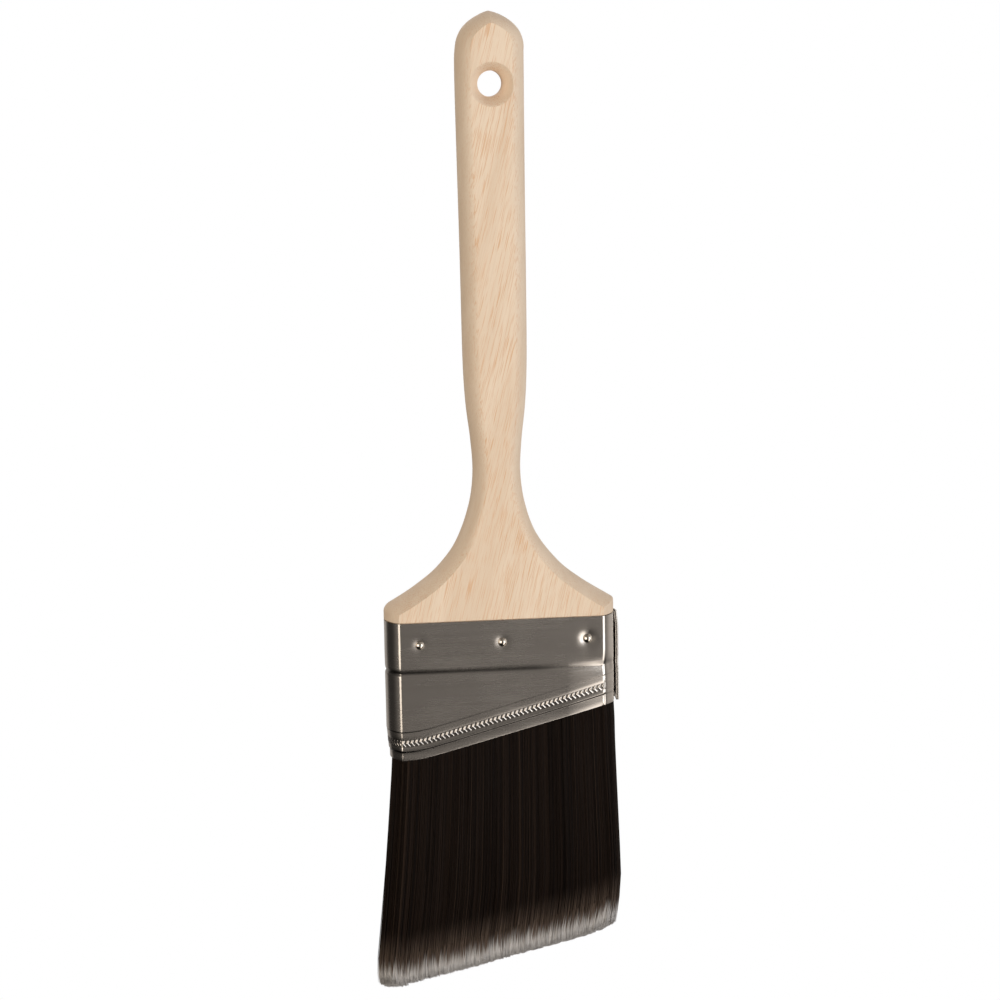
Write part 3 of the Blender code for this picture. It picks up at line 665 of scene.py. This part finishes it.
def ferrule_plan():
    """The sheet's outer face in plan, as an open loop of points, outward normals, how much
    of the creases each point takes and how much of the lap's tuck. It starts under the lap
    at mid right, goes along the front, the left side and the back, and ends lapped over
    its own start with a hem folded under its end."""
    right_angle, right_x, right_y = fold_place("right")
    left_angle, left_x, left_y = fold_place("left")
    parts = []

    def add(points, normals, crease, tuck):
        parts.append(np.column_stack(np.broadcast_arrays(*points.T, *normals.T, crease, tuck)))

    def arc(centre, radius, start, end, crease=1.0, tuck=0.0, on_lap=False):
        count = max(3, math.ceil(abs((end - start) * radius) / FRONT_PITCH))
        angle = np.linspace(start, end, count + 1)
        normals = np.column_stack([np.cos(angle), np.sin(angle)])
        if on_lap:
            crease = smoothstep(CREASE_END_ANGLE, LAP_JOG_ANGLE, angle)
            tuck = 1 - smoothstep(LAP_JOG_ANGLE, right_angle, angle)
            radius = (radius + LAP_OFFSET * tuck)[:, None]
        add(np.array(centre) + normals * radius, normals, crease, tuck)

    def flat(start_x, end_x, y, pitch):
        count = math.ceil(abs(end_x - start_x) / pitch)
        x = np.linspace(start_x, end_x, count + 1)[1:-1]
        level = np.ones_like(x)
        add(np.column_stack([x, level * y]), np.column_stack([0 * x, level * np.sign(y)]), 1.0, 0.0)

    half = math.pi / 2
    right_centre, left_centre = (SIDE_CENTRE_X, 0), (-SIDE_CENTRE_X, 0)
    arc(right_centre, SIDE_RADIUS, LAP_START_ANGLE, -right_angle)
    arc((right_x, -right_y), BEND_RADIUS["right"], -right_angle, -half)
    flat(right_x, -left_x, -FERRULE_HALF_DEPTH, FRONT_PITCH)
    arc((-left_x, -left_y), BEND_RADIUS["left"], -half, left_angle - math.pi)
    arc(left_centre, SIDE_RADIUS, left_angle - math.pi, -left_angle - math.pi)
    arc((-left_x, left_y), BEND_RADIUS["left"], -left_angle - math.pi, -half - math.pi)
    flat(-left_x, right_x, FERRULE_HALF_DEPTH, BACK_PITCH)
    arc((right_x, right_y), BEND_RADIUS["right"], half, right_angle)
    arc(right_centre, SIDE_RADIUS, right_angle, LAP_END_ANGLE, on_lap=True)
    lap_radius = SIDE_RADIUS + LAP_OFFSET
    turn_centre = (SIDE_CENTRE_X + (lap_radius - HEM_RADIUS) * math.cos(LAP_END_ANGLE),
                   (lap_radius - HEM_RADIUS) * math.sin(LAP_END_ANGLE))
    arc(turn_centre, HEM_RADIUS, LAP_END_ANGLE, LAP_END_ANGLE - math.pi, 0.0, 1.0)
    arc(right_centre, 2 * HEM_RADIUS - lap_radius, LAP_END_ANGLE - math.pi,
        HEM_END_ANGLE - math.pi, 0.0, 1.0)
    plan = np.concatenate(parts)
    steps = np.linalg.norm(np.diff(plan[:, :2], axis=0), axis=1)
    plan = plan[np.concatenate([[True], steps > 1e-7])]
    steps = np.linalg.norm(np.diff(plan[:, :2], axis=0), axis=1)
    run = np.concatenate([[0.0], np.cumsum(steps)])
    return plan[:, :2], plan[:, 2:4], run, plan[:, 4], plan[:, 5]


def ferrule_heights(x):
    """Heights of the grid's rows, one column per x, closer together where creases are."""
    def round_middle(middle, reach, count):
        return [middle + t for t in np.linspace(reach, -reach, count)]

    level = np.zeros_like(x)
    thin = slanted_z(THIN_LINE, x)
    band = slanted_z(KNURL_BAND, x)
    rows = [level + z for z in (-FIT_GAP, -0.0010, -0.0028)]
    rows += round_middle(level + NAIL_HEIGHT, NAIL_ROWS_REACH, 12)
    rows += [level + ROLL_HEIGHTS[0] - 0.0003]
    rows += round_middle(level + GROOVE_Z, GROOVE_ROWS_REACH, 17)
    rows += [lerp(rows[-1], thin + LINE_ROWS_REACH, 0.5)]
    rows += round_middle(thin, LINE_ROWS_REACH, 8)
    rows += [lerp(rows[-1], band + BAND_ROWS_REACH, 0.5)]
    rows += round_middle(band, BAND_ROWS_REACH, 19)
    rows += round_middle(slanted_z(LIP_LINE, x), LINE_ROWS_REACH, 8)
    rows += [lerp(rows[-1], slanted_z(BOTTOM_EDGE, x), s) for s in (0.45, 0.92, 1.0)]
    return np.array(rows)


def chevron_shares(x, run, z):
    """Share of the pressed band and, in it, of the chevrons' ridges; run is the distance
    round the sheet."""
    off_band = z - slanted_z(KNURL_BAND, x)
    sweep = np.where(off_band > 0, CHEVRON_SWEEP["upper"], CHEVRON_SWEEP["lower"])
    phase = (run + sweep * np.abs(off_band)) / CHEVRON_PITCH
    ridge = (0.5 + 0.5 * np.cos(2 * math.pi * phase)) ** CHEVRON_SHARPNESS
    ridge = ridge * smoothstep(CHEVRON_REACH, 0.72 * CHEVRON_REACH, np.abs(off_band))
    bed = smoothstep(1.25 * CHEVRON_REACH, CHEVRON_REACH, np.abs(off_band))
    return bed, ridge


def ferrule_painted_shade(x, run, z, plain_side):
    """Share of painted shade in the creases, round the chevrons and on the groove's upper
    wall. The right narrow side, the plain one, has less of it."""
    bed, ridge = chevron_shares(x, run, z)
    band = 0.55 * bed * (1 - ridge ** 0.5)
    thin = np.exp(-((z - slanted_z(THIN_LINE, x)) / (0.55 * THIN_STEP[0])) ** 2)
    lip = np.exp(-((z - slanted_z(LIP_LINE, x)) / (0.50 * LIP_STEP[0])) ** 2)
    crease_shade = np.maximum(np.maximum(band, thin), lip) * (1 - 0.8 * plain_side)
    # painted shade on the groove's upper wall, fading out towards the right fold
    groove_wall_shade = np.exp(-((z - GROOVE_Z - 0.0003) / 0.00080) ** 2)
    return np.maximum(crease_shade, 0.70 * groove_wall_shade * smoothstep(0.0240, 0.0100, x))


def groove_relief(x, z):
    """Depth of the groove, a rounded crease with its steeper wall below."""
    fading = smoothstep(*GROOVE_FADE_X, x)
    offset = z - GROOVE_Z
    offset = offset * np.where(offset > 0, lerp(0.75, 0.50, fading), 1.5)
    return GROOVE_DEPTH * (1 - 0.45 * fading) * np.exp(-(offset / GROOVE_REACH) ** 2)


def step_relief(step, offset):
    """Depth of a small step inwards, going down past a line."""
    height, depth = step
    return depth * smoothstep(0.5 * height, -0.5 * height, offset)


def dimple_relief(x, z):
    """Depth of the dimples that the nails have pressed into the panels."""
    depth = 0.0
    for place, nail_x in NAIL_X.items():
        away = np.hypot(x - nail_x, z - NAIL_HEIGHT)
        depth = depth + DIMPLE_DEPTH[place] * np.exp(-(away / DIMPLE_RADIUS[place]) ** 2.4)
    return depth


def ferrule_relief(x, run, z, panel, left_side, plain_side):
    """How far the sheet's outer face is pressed in from its plan line."""
    thin = z - slanted_z(THIN_LINE, x)
    lip = z - slanted_z(LIP_LINE, x)
    groove = groove_relief(x, z) * (1 - 0.4 * plain_side)
    lines = (step_relief(THIN_STEP, thin) + step_relief(LIP_STEP, lip)) * (1 - 0.7 * plain_side)
    bed, ridge = chevron_shares(x, run, z)
    rise = CHEVRON_RISE * lerp(1.0, 1.3, smoothstep(-0.010, 0.020, x))
    chevrons = (CHEVRON_BED * bed - rise * ridge) * (1 - plain_side)
    pinch = LIP_PINCH * smoothstep(0.0012, -0.0080, thin) * left_side
    sway = SWAY * np.sin(x * 140 + z * 300) * np.sin(z * 260 + x * 40)
    return groove + lines + chevrons + dimple_relief(x, z) * panel + pinch + sway


def panel_shift(points, z):
    """How far each point of the sheet moves in y: both panels draw in below the thin line,
    and the front one also rolls in towards its right fold."""
    x, y = points[None, :, 0], points[None, :, 1]
    below_line = np.maximum(slanted_z(THIN_LINE, x) - z, 0.0)
    taper = BELOW_LINE_TILT * below_line
    share = np.maximum((x - ROLL_START_X) / (FERRULE_FLAT_HALF_WIDTH - ROLL_START_X), 0.0)
    roll = ROLL_DEPTH * share ** 1.5 * smoothstep(*ROLL_HEIGHTS, z)
    roll = roll * (1 - 0.35 * smoothstep(*ROLL_EASING, z))
    front, back = smoothstep(-0.0030, -0.0078, y), smoothstep(0.0030, 0.0078, y)
    return (taper + roll) * front - taper * back


def lap_shift(points, z, tucked):
    """How far the lap leans in towards the narrow side near its top, as plan offsets."""
    outwards = points - np.array([SIDE_CENTRE_X, 0.0])
    outwards /= np.linalg.norm(outwards, axis=1)[:, None]
    depth = LAP_TUCK * smoothstep(-0.0065, 0.0, z) ** 1.5
    depth = depth + LAP_WAIST * np.exp(-((z - GROOVE_Z) / 0.0020) ** 2)
    return -outwards[None] * (depth * tucked[None])[..., None]


def ferrule_skins():
    """Grids of points of the sheet's outer face and, with two rows only, of its inner
    face, and the outer grid's share of painted crease shade."""
    points, normals, run, creased, tucked = ferrule_plan()
    x, along = points[None, :, 0], run[None, :]
    heights = ferrule_heights(points[:, 0])
    panel = smoothstep(0.80, 1.0, np.abs(normals[:, 1]))
    left_side = smoothstep(0.5, 0.9, -normals[:, 0])
    plain_side = smoothstep(0.30, 0.75, normals[:, 0])
    relief = ferrule_relief(x, along, heights, panel, left_side, plain_side) * creased
    # The share of painted shade, like the relief, only where the sheet takes the creases.
    painted_crease_shade = ferrule_painted_shade(x, along, heights, plain_side) * creased

    from_end = run[-1] - run
    end_face = np.array([math.sin(LAP_END_ANGLE), -math.cos(LAP_END_ANGLE)])
    nose = np.clip(normals @ end_face, 0.0, 1.0) ** 2 * (creased == 0.0)
    relief = relief + HEM_PRESS * nose * (from_end < LAP_CORNER_RUN)
    turn = 1 - np.clip(from_end / LAP_CORNER_RUN, 0.0, 1.0)
    corner = LAP_CORNER * (1 - np.sqrt(1 - turn ** 2)) * (tucked > 0.99)
    heights = heights - corner * smoothstep(-0.0060, 0.0, heights)

    def skin(depth, z):
        flat = points[None] - normals[None] * depth[..., None] + lap_shift(points, z, tucked)
        flat[..., 1] += panel_shift(points, z)
        return np.concatenate([flat, z[..., None]], axis=-1)

    outer = skin(relief, heights)
    inner = skin(SHEET + relief[[0, -1]], heights[[0, -1]])
    outer[-1, :, :2] -= normals * LIP_TUCK
    return outer, inner, painted_crease_shade


def make_ferrule(material):
    outer, inner, painted_crease_shade = ferrule_skins()
    rows, columns = painted_crease_shade.shape
    grid = np.arange(rows * columns).reshape(rows, columns)
    back = rows * columns + np.arange(2 * columns).reshape(2, columns)

    def strip(upper, lower):
        return np.stack([upper[:-1], lower[:-1], lower[1:], upper[1:]], axis=-1)

    quads = [strip(grid[r + 1], grid[r]) for r in range(rows - 1)]
    quads += [strip(back[0], back[1]), strip(grid[0], back[0]), strip(back[1], grid[-1])]
    ends = [list(grid[:, 0]) + [back[1, 0], back[0, 0]],
            list(grid[::-1, -1]) + [back[0, -1], back[1, -1]]]
    everything = np.concatenate([outer.reshape(-1, 3), inner.reshape(-1, 3)])
    # the painted crease shade per point, none on the inner face
    shade = np.concatenate([painted_crease_shade.ravel(), np.zeros(2 * columns)])
    mesh = mesh_from_arrays("steel_ferrule", everything, np.concatenate(quads), polygons=ends,
                            attributes={"painted_crease_shade": shade})
    bm = bmesh.new()
    bm.from_mesh(mesh)
    bmesh.ops.recalc_face_normals(bm, faces=bm.faces)
    bm.to_mesh(mesh)
    bm.free()
    smooth_with_creases(mesh, 50)
    add_piece("steel_ferrule", mesh, material, "ferrule_steel", "ferrule")


# ---- Nails -------------------------------------------------------------------
def nail_profile():
    """(radius, height above the sheet) from the dome's top to the shank's point."""
    rim, dome = 0.00012, 0.00105        # heights of the head's edge and of its dome
    seat = -0.00028                     # the head sits this deep in its dimple
    dome_steps = 9
    profile = [(0.0, seat + rim + dome)]
    for i in range(1, dome_steps + 1):
        angle = math.pi / 2 * i / dome_steps
        profile.append((NAIL_HEAD_RADIUS * math.sin(angle), seat + rim + dome * math.cos(angle)))
    profile += [(NAIL_HEAD_RADIUS, seat), (NAIL_SHANK_RADIUS, seat)]
    return profile + [(NAIL_SHANK_RADIUS, -0.0055), (0.0, -0.0068)]


def make_nails(material):
    for face, side in (("front", -1), ("back", 1)):
        for place, x in NAIL_X.items():
            bm = lathe_bmesh(nail_profile(), 32)
            turn = Matrix.Rotation(-side * math.pi / 2, 4, "X")
            tilt = Matrix.Rotation(math.radians(3.0 * math.sin(x * 300 + side)), 4, "Y")
            spot = Matrix.Translation((x, side * FERRULE_HALF_DEPTH, NAIL_HEIGHT + TOP_EDGE_Z))
            bmesh.ops.transform(bm, matrix=spot @ turn @ tilt, verts=bm.verts)
            mesh = mesh_from_bmesh("domed_nail_" + face + "_" + place, bm)
            smooth_with_creases(mesh, 50)
            add_piece(mesh.name, mesh, material, "nail_steel", "nail_" + face + "_" + place)


# ---- Filaments ---------------------------------------------------------------
PACK_SPLIT = 0.345                  # share of the half-depth where one pack ends
SHELL_PITCH = 0.00017
SHELL_LAYERS = 3
SHELL_LAYER_STEP = 0.00021
SHELL_SIZE = (0.0765, 0.0172)       # width and depth that the pitches are counted in
TIP_SIZE = (0.0790, 0.0160)         # the same for the short tips
FILAMENT_RADIUS = 0.000095
TIP_PITCH = 0.00030
TIP_STRAND_LENGTH = 0.013
ROOT_HALF_WIDTH = 0.0366            # of the outer strands, where the ferrule ends
ROOT_DEPTH = 0.0030                 # they start this far above its bottom edge
SHELL_WIDTHS = [(0, 1.0), (0.8, 0.95), (0.95, 0.8), (1, 0.35)]     # along each strand
TIP_WIDTHS = [(0, 1.4), (0.6, 1.35), (1, 0.6)]
CORE_INSET = 0.00075
CORE_TOP_Z = -0.0215
CORE_TIP_GAP = 0.0095
EDGE_INSET = 0.00030


def middle_tip_z(share):
    """Height of the middle pack's tips, share 0..1 across the brush."""
    return curve_value(TIP_LINE, lerp(TIP_LINE[0][0], TIP_LINE[-1][0], share))


def chisel_tip_z(share, depth_share):
    """The same, depth_share -1..1 from the brush's front to its back."""
    return middle_tip_z(share) + CHISEL_SLOPE * TIP_HALF_DEPTH * np.abs(depth_share)


def brush_points(share, depth_share, z, side_inset, face_inset=0.0):
    """Points at those shares of the filaments' outline, less the insets, at heights z."""
    left = curve_value(FILAMENT_LEFT, z) + side_inset
    right = curve_value(FILAMENT_RIGHT, z) - side_inset
    rounding = SIDE_SAGITTA * depth_share ** 2
    x = lerp(left + rounding, right - rounding, share)
    y = depth_share * (curve_value(FILAMENT_HALF_DEPTH, z) - face_inset)
    return np.stack([x, y, z], axis=-1)


def strand_paths(share, depth_share, short, high, steps):
    """Centre lines of many filaments from their height high down to the tip, short being
    how much each one is too short. The points are closer together at both ends."""
    tip_z = chisel_tip_z(share, depth_share) + short
    t = np.linspace(0.0, 1.0, steps + 1)
    t = t - 0.6 * np.sin(2 * math.pi * t) / (2 * math.pi)
    z = lerp(high[:, None], tip_z[:, None], t[None, :])
    return brush_points(share[:, None], depth_share[:, None], z, EDGE_INSET)


def tubes(paths, radii, sides, random):
    """Closed tubes round paths (n, m, 3) with radii (n, m), as points, quads and caps."""
    count, length, _ = paths.shape
    turn = random.uniform(0, 2 * math.pi, count)
    angles = turn[:, None] + 2 * math.pi * np.arange(sides)[None, :] / sides
    ring = np.stack([np.cos(angles), np.sin(angles), np.zeros_like(angles)], axis=-1)
    points = paths[:, :, None, :] + ring[:, None, :, :] * radii[:, :, None, None]
    base = (np.arange(count) * length * sides)[:, None, None]
    level = (np.arange(length - 1) * sides)[None, :, None]
    side = np.arange(sides)[None, None, :]
    after = (np.arange(sides) + 1) % sides
    a = base + level + side
    b = base + level + after[None, None, :]
    quads = np.stack([a, a + sides, b + sides, b], axis=-1).reshape(-1, 4)
    first = np.arange(count)[:, None] * length * sides
    last = first + (length - 1) * sides
    caps = [first + np.arange(sides)[None, :], last + np.arange(sides)[None, ::-1]]
    return points.reshape(-1, 3), quads, np.concatenate(caps)


def pack_of(depth_share):
    """0 front, 1 middle, 2 rear."""
    return np.where(depth_share < -PACK_SPLIT, 0, np.where(depth_share > PACK_SPLIT, 2, 1))


def shell_strands(random):
    """Long filaments in the outer layers, all the way round the brush."""
    shares, depths = [], []
    wide, deep = SHELL_SIZE
    for layer in range(SHELL_LAYERS):
        inset = layer * SHELL_LAYER_STEP
        along = np.arange(0.0, wide, SHELL_PITCH) / wide
        across = np.arange(-1.0, 1.0, SHELL_PITCH / (deep / 2) / 1.15)
        for side in (-1, 1):
            s = along + random.uniform(-0.5, 0.5, len(along)) * SHELL_PITCH / wide
            shares.append(np.clip(s, 0.0, 1.0) * (1 - 2 * inset / wide) + inset / wide)
            depths.append(np.full(len(along), side * (1 - 2 * inset / deep)))
        for end in (0, 1):
            d = across + random.uniform(-0.5, 0.5, len(across)) * 0.02
            depths.append(np.clip(d, -1, 1) * (1 - 2 * inset / deep))
            shares.append(np.full(len(across), end + (0.5 - end) * 2 * inset / wide))
    share, depth = np.concatenate(shares), np.concatenate(depths)
    depth = depth + random.normal(0, 0.006, len(depth))
    share = share + random.normal(0, 0.0006, len(share))
    return share, np.clip(depth, -1.0, 1.0)


def tip_strands(random):
    """Short visible ends of the filaments inside the brush."""
    wide, deep = TIP_SIZE
    s = np.arange(0.004, 0.996, TIP_PITCH / wide)
    d = np.arange(-0.98, 0.98, TIP_PITCH / (deep / 2))
    share, depth = [grid.ravel() for grid in np.meshgrid(s, d)]
    share = share + random.uniform(-0.5, 0.5, len(share)) * TIP_PITCH / wide
    depth = depth + random.uniform(-0.5, 0.5, len(depth)) * TIP_PITCH / (deep / 2)
    return share, depth


def tip_clumps(share):
    """How much shorter the filaments are in some narrow clumps, across the brush."""
    wave = np.sin(share * 91) + np.sin(share * 171) + np.sin(share * 263 + 1.1)
    wave = wave + 0.8 * np.sin(share * 421 + 2.3)
    return 0.00022 * np.maximum(wave + 0.4, 0.0)


def wander(paths, random, amount):
    """Small sideways drift that grows towards the tips, with neighbours in loose tufts."""
    count, length, _ = paths.shape
    t = np.linspace(0.0, 1.0, length)[None, :] ** 2
    drift = random.normal(0, amount, (count, 2))
    paths[..., 0] += drift[:, :1] * t
    paths[..., 1] += drift[:, 1:] * t * 0.5
    tip_x = paths[:, -1, 0]
    tip_y = paths[:, -1, 1]
    tuft = 0.00012 * np.sin(tip_x * 2900 + 1.7 * np.sin(tip_x * 530) + tip_y * 900)
    tuft += 0.00010 * np.sin(tip_x * 6100 + tip_y * 1700 + 0.8)
    paths[..., 0] += tuft[:, None] * t ** 1.5
    return paths


def core_solid():
    """Closed dark body inside the strands, so that no light shows through the brush."""
    steps = (40, 8, 14)                 # across, front to back and top to tips
    place = np.indices([count + 1 for count in steps])
    on_skin = np.any([place[n] % steps[n] == 0 for n in range(3)], axis=0)
    share, through, level = [place[n][on_skin] / steps[n] for n in range(3)]
    depth_share = 2 * through - 1
    z = lerp(CORE_TOP_Z, chisel_tip_z(share, depth_share) + CORE_TIP_GAP, level)
    number = np.cumsum(on_skin).reshape(on_skin.shape) - 1
    quads = []
    for axis in range(3):
        for side in (0, -1):
            sheet = np.take(number, side, axis)
            corners = [sheet[:-1, :-1], sheet[1:, :-1], sheet[1:, 1:], sheet[:-1, 1:]]
            if (side == 0) == (axis != 1):
                corners.reverse()
            quads.append(np.stack(corners, axis=-1).reshape(-1, 4))
    return brush_points(share, depth_share, z, CORE_INSET, CORE_INSET), np.concatenate(quads)


def strand_set(share, depth, high, steps, width_profile, drift, random):
    """One group of strands as points, quads, caps and, for each point, its distance from
    the tip and its strand's random number."""
    sides = 3
    short = tip_clumps(share) + random.gamma(1.3, 0.00018, len(share))
    paths = wander(strand_paths(share, depth, short, high, steps), random, drift)
    widths = np.interp(np.linspace(0, 1, steps + 1), *zip(*width_profile))
    size = random.uniform(0.85, 1.2, len(share))
    radii = FILAMENT_RADIUS * widths[None, :] * size[:, None]
    points, quads, caps = tubes(paths, radii, sides, random)
    tips = np.repeat((paths[..., 2] - paths[:, -1:, 2]).reshape(-1), sides)
    strand = np.repeat(random.uniform(0, 1, len(share)), (steps + 1) * sides)
    return points, quads, caps, tips, strand


def make_filaments(material):
    random = np.random.default_rng(7)
    names = ("front", "middle", "rear")
    shell_share, shell_depth = shell_strands(random)
    tip_share, tip_depth = tip_strands(random)
    core_points, core_quads = core_solid()
    for pack, name in enumerate(names):
        groups = []
        chosen = pack_of(shell_depth) == pack
        share, depth = shell_share[chosen], shell_depth[chosen]
        root_x = lerp(-ROOT_HALF_WIDTH, ROOT_HALF_WIDTH, share)
        root = slanted_z(BOTTOM_EDGE, root_x) + ROOT_DEPTH
        groups.append(strand_set(share, depth, root, 10, SHELL_WIDTHS, 0.00022, random))
        chosen = pack_of(tip_depth) == pack
        share, depth = tip_share[chosen], tip_depth[chosen]
        root = middle_tip_z(share) + TIP_STRAND_LENGTH
        groups.append(strand_set(share, depth, root, 3, TIP_WIDTHS, 0.00015, random))
        if name == "middle":
            dark = np.full(len(core_points), 0.05)      # far from the tips, a dark strand
            groups.append((core_points, core_quads, np.zeros((0, 3), int), dark, dark))
        starts = np.cumsum([0] + [len(group[0]) for group in groups])
        joined = [(points, quads + start, caps + start, tips, strands)
                  for (points, quads, caps, tips, strands), start in zip(groups, starts)]
        points, quads, caps, tips, strands = [np.concatenate(column) for column in zip(*joined)]
        mesh = mesh_from_arrays("filaments_" + name, points, quads, caps,
                                attributes={"tip": tips, "strand": strands})
        mesh.shade_smooth()
        add_piece("filaments_" + name, mesh, material, "filament", "filament_pack_" + name)


# ---- Stage and light ---------------------------------------------------------
def add_floor():
    """A wide floor below the hanging brush, white to the camera and clear to all else."""
    half = 15.0
    low = CAD_BOX[0].z - 0.55
    corners = [(x * half, y * half, low) for x, y in ((-1, -1), (1, -1), (1, 1), (-1, 1))]
    mesh = bpy.data.meshes.new("floor")
    mesh.from_pydata(corners, [], [(0, 1, 2, 3)])
    floor = new_object("floor", mesh)
    material, s = new_material("pale_floor")
    clear = s.node("BsdfTransparent").outputs[0]
    above = s.white_to_camera("Emission", clear)
    below = s.node("NewGeometry").outputs["Backfacing"]
    seen = s.node("MixShader", {0: below, 1: above, 2: clear}).outputs[0]
    s.tree.links.new(seen, s.tree.nodes["Material Output"].inputs["Surface"])
    mesh.materials.append(material)


def add_world():
    """White to the camera; to the brush, a soft room: dim in front and below, darkest
    behind on the left, lighter above, behind and to the right. A bright patch low on the
    right lights the creases."""
    world = bpy.data.worlds.new("studio")
    bpy.context.scene.world = world
    s = Shader(world)
    direction = s.node("TexCoord").outputs["Generated"]
    x, y, z = s.node("SeparateXYZ", {0: direction}).outputs
    azimuth = s.math("DEGREES", s.math("ARCTAN2", x, s.times(y, -1.0)))
    beside = s.times(s.ramp(95, 118, azimuth, 0.0, 0.36), s.ramp(0.40, 0.10, z))
    level = s.plus(s.ramp(6, 28, azimuth, 0.155, 0.38), s.ramp(60, 90, azimuth, 0.0, -0.13), beside)
    level = s.times(level, s.ramp(-85, -105, azimuth, 1.0, 0.25))
    level = s.plus(level, s.ramp(-134, -150, azimuth, 0.0, 0.40), s.ramp(0.10, 0.8, z, 0.0, 0.06))
    level = s.times(level, s.ramp(-0.62, -0.22, z, 0.08, 1.0))
    patch = s.times(s.ramp(14, 22, azimuth), s.ramp(60, 45, azimuth),
                    s.ramp(-0.22, -0.34, z), s.ramp(-0.86, -0.72, z))
    level = s.plus(level, s.times(patch, 2.1))
    room = s.node("Background", {"Color": (1.0, 0.94, 0.88), "Strength": level}).outputs[0]
    both = s.white_to_camera("Background", room)
    s.tree.links.new(both, s.tree.nodes["World Output"].inputs["Surface"])


def add_softbox(name, azimuth, elevation, wide, tall, radiance, colour):
    """Area light aimed at the ferrule from 1.5 m. Azimuth 0 is in front, positive to the
    right; wide and tall are the angles that it spans, all in degrees."""
    distance = 1.5
    a, e = math.radians(azimuth), math.radians(elevation)
    aim = Vector((0.0, 0.0, TOP_EDGE_Z))
    out = Vector((math.sin(a) * math.cos(e), -math.cos(a) * math.cos(e), math.sin(e)))
    data = bpy.data.lights.new(name, "AREA")
    data.shape = "RECTANGLE"
    data.size = 2 * distance * math.tan(math.radians(wide / 2))
    data.size_y = 2 * distance * math.tan(math.radians(tall / 2))
    data.energy = radiance * math.pi * data.size * data.size_y
    data.color = colour
    lamp = new_object(name, data)
    lamp.location = aim + out * distance
    lamp.rotation_euler = out.to_track_quat("Z", "Y").to_euler()


def add_lights():
    add_softbox("softbox_left", -47, 6, 56, 42, 2.7, (1.0, 0.92, 0.81))
    add_softbox("softbox_right", 46, 6, 40, 42, 3.0, (0.94, 0.97, 1.0))
    add_softbox("softbox_rear", 180, 38, 50, 36, 1.6, (1.0, 1.0, 1.0))


# ---- Assembly ----------------------------------------------------------------
def finish_hidden_nodes():
    """The pieces inside the ferrule keep their CAD shape and get finished materials."""
    plug = wood_material("plug_wood", (0.66, 0.49, 0.33), (0.55, 0.39, 0.25), (0.40, 0.24, 0.13), 0.5)
    resin, s = new_material("set_resin")
    cloud = s.noise((400, 400, 400), 3.0)
    s.surface(Base_Color=s.mix(cloud, (0.22, 0.13, 0.06), (0.36, 0.24, 0.12)),
              Roughness=s.ramp(0.3, 0.7, cloud, 0.22, 0.38))
    for node, material, slot in (("spacer_plug_front", plug, "plug_wood"),
                                 ("spacer_plug_rear", plug, "plug_wood"),
                                 ("epoxy_setting", resin, "epoxy")):
        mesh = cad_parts[node].data
        mesh.materials.clear()
        mesh.materials.append(material)


add_camera()
add_floor()
add_world()
add_lights()
make_handle(wood_material("bare_wood", (0.815, 0.665, 0.515), (0.745, 0.588, 0.440),
                          (0.68, 0.40, 0.22), 0.85))
make_ferrule(steel_material("brushed_stainless", (0.62, 0.575, 0.53), (0.585, 0.54, 0.495),
                            0.24, 0.55, 0.0))
make_nails(steel_material("polished_steel", (0.64, 0.59, 0.52), (0.55, 0.50, 0.44),
                          0.12, 0.0, 0.05))
make_filaments(filament_material("filament"))
finish_hidden_nodes()
scene = bpy.context.scene
scene.view_settings.view_transform = "Standard"
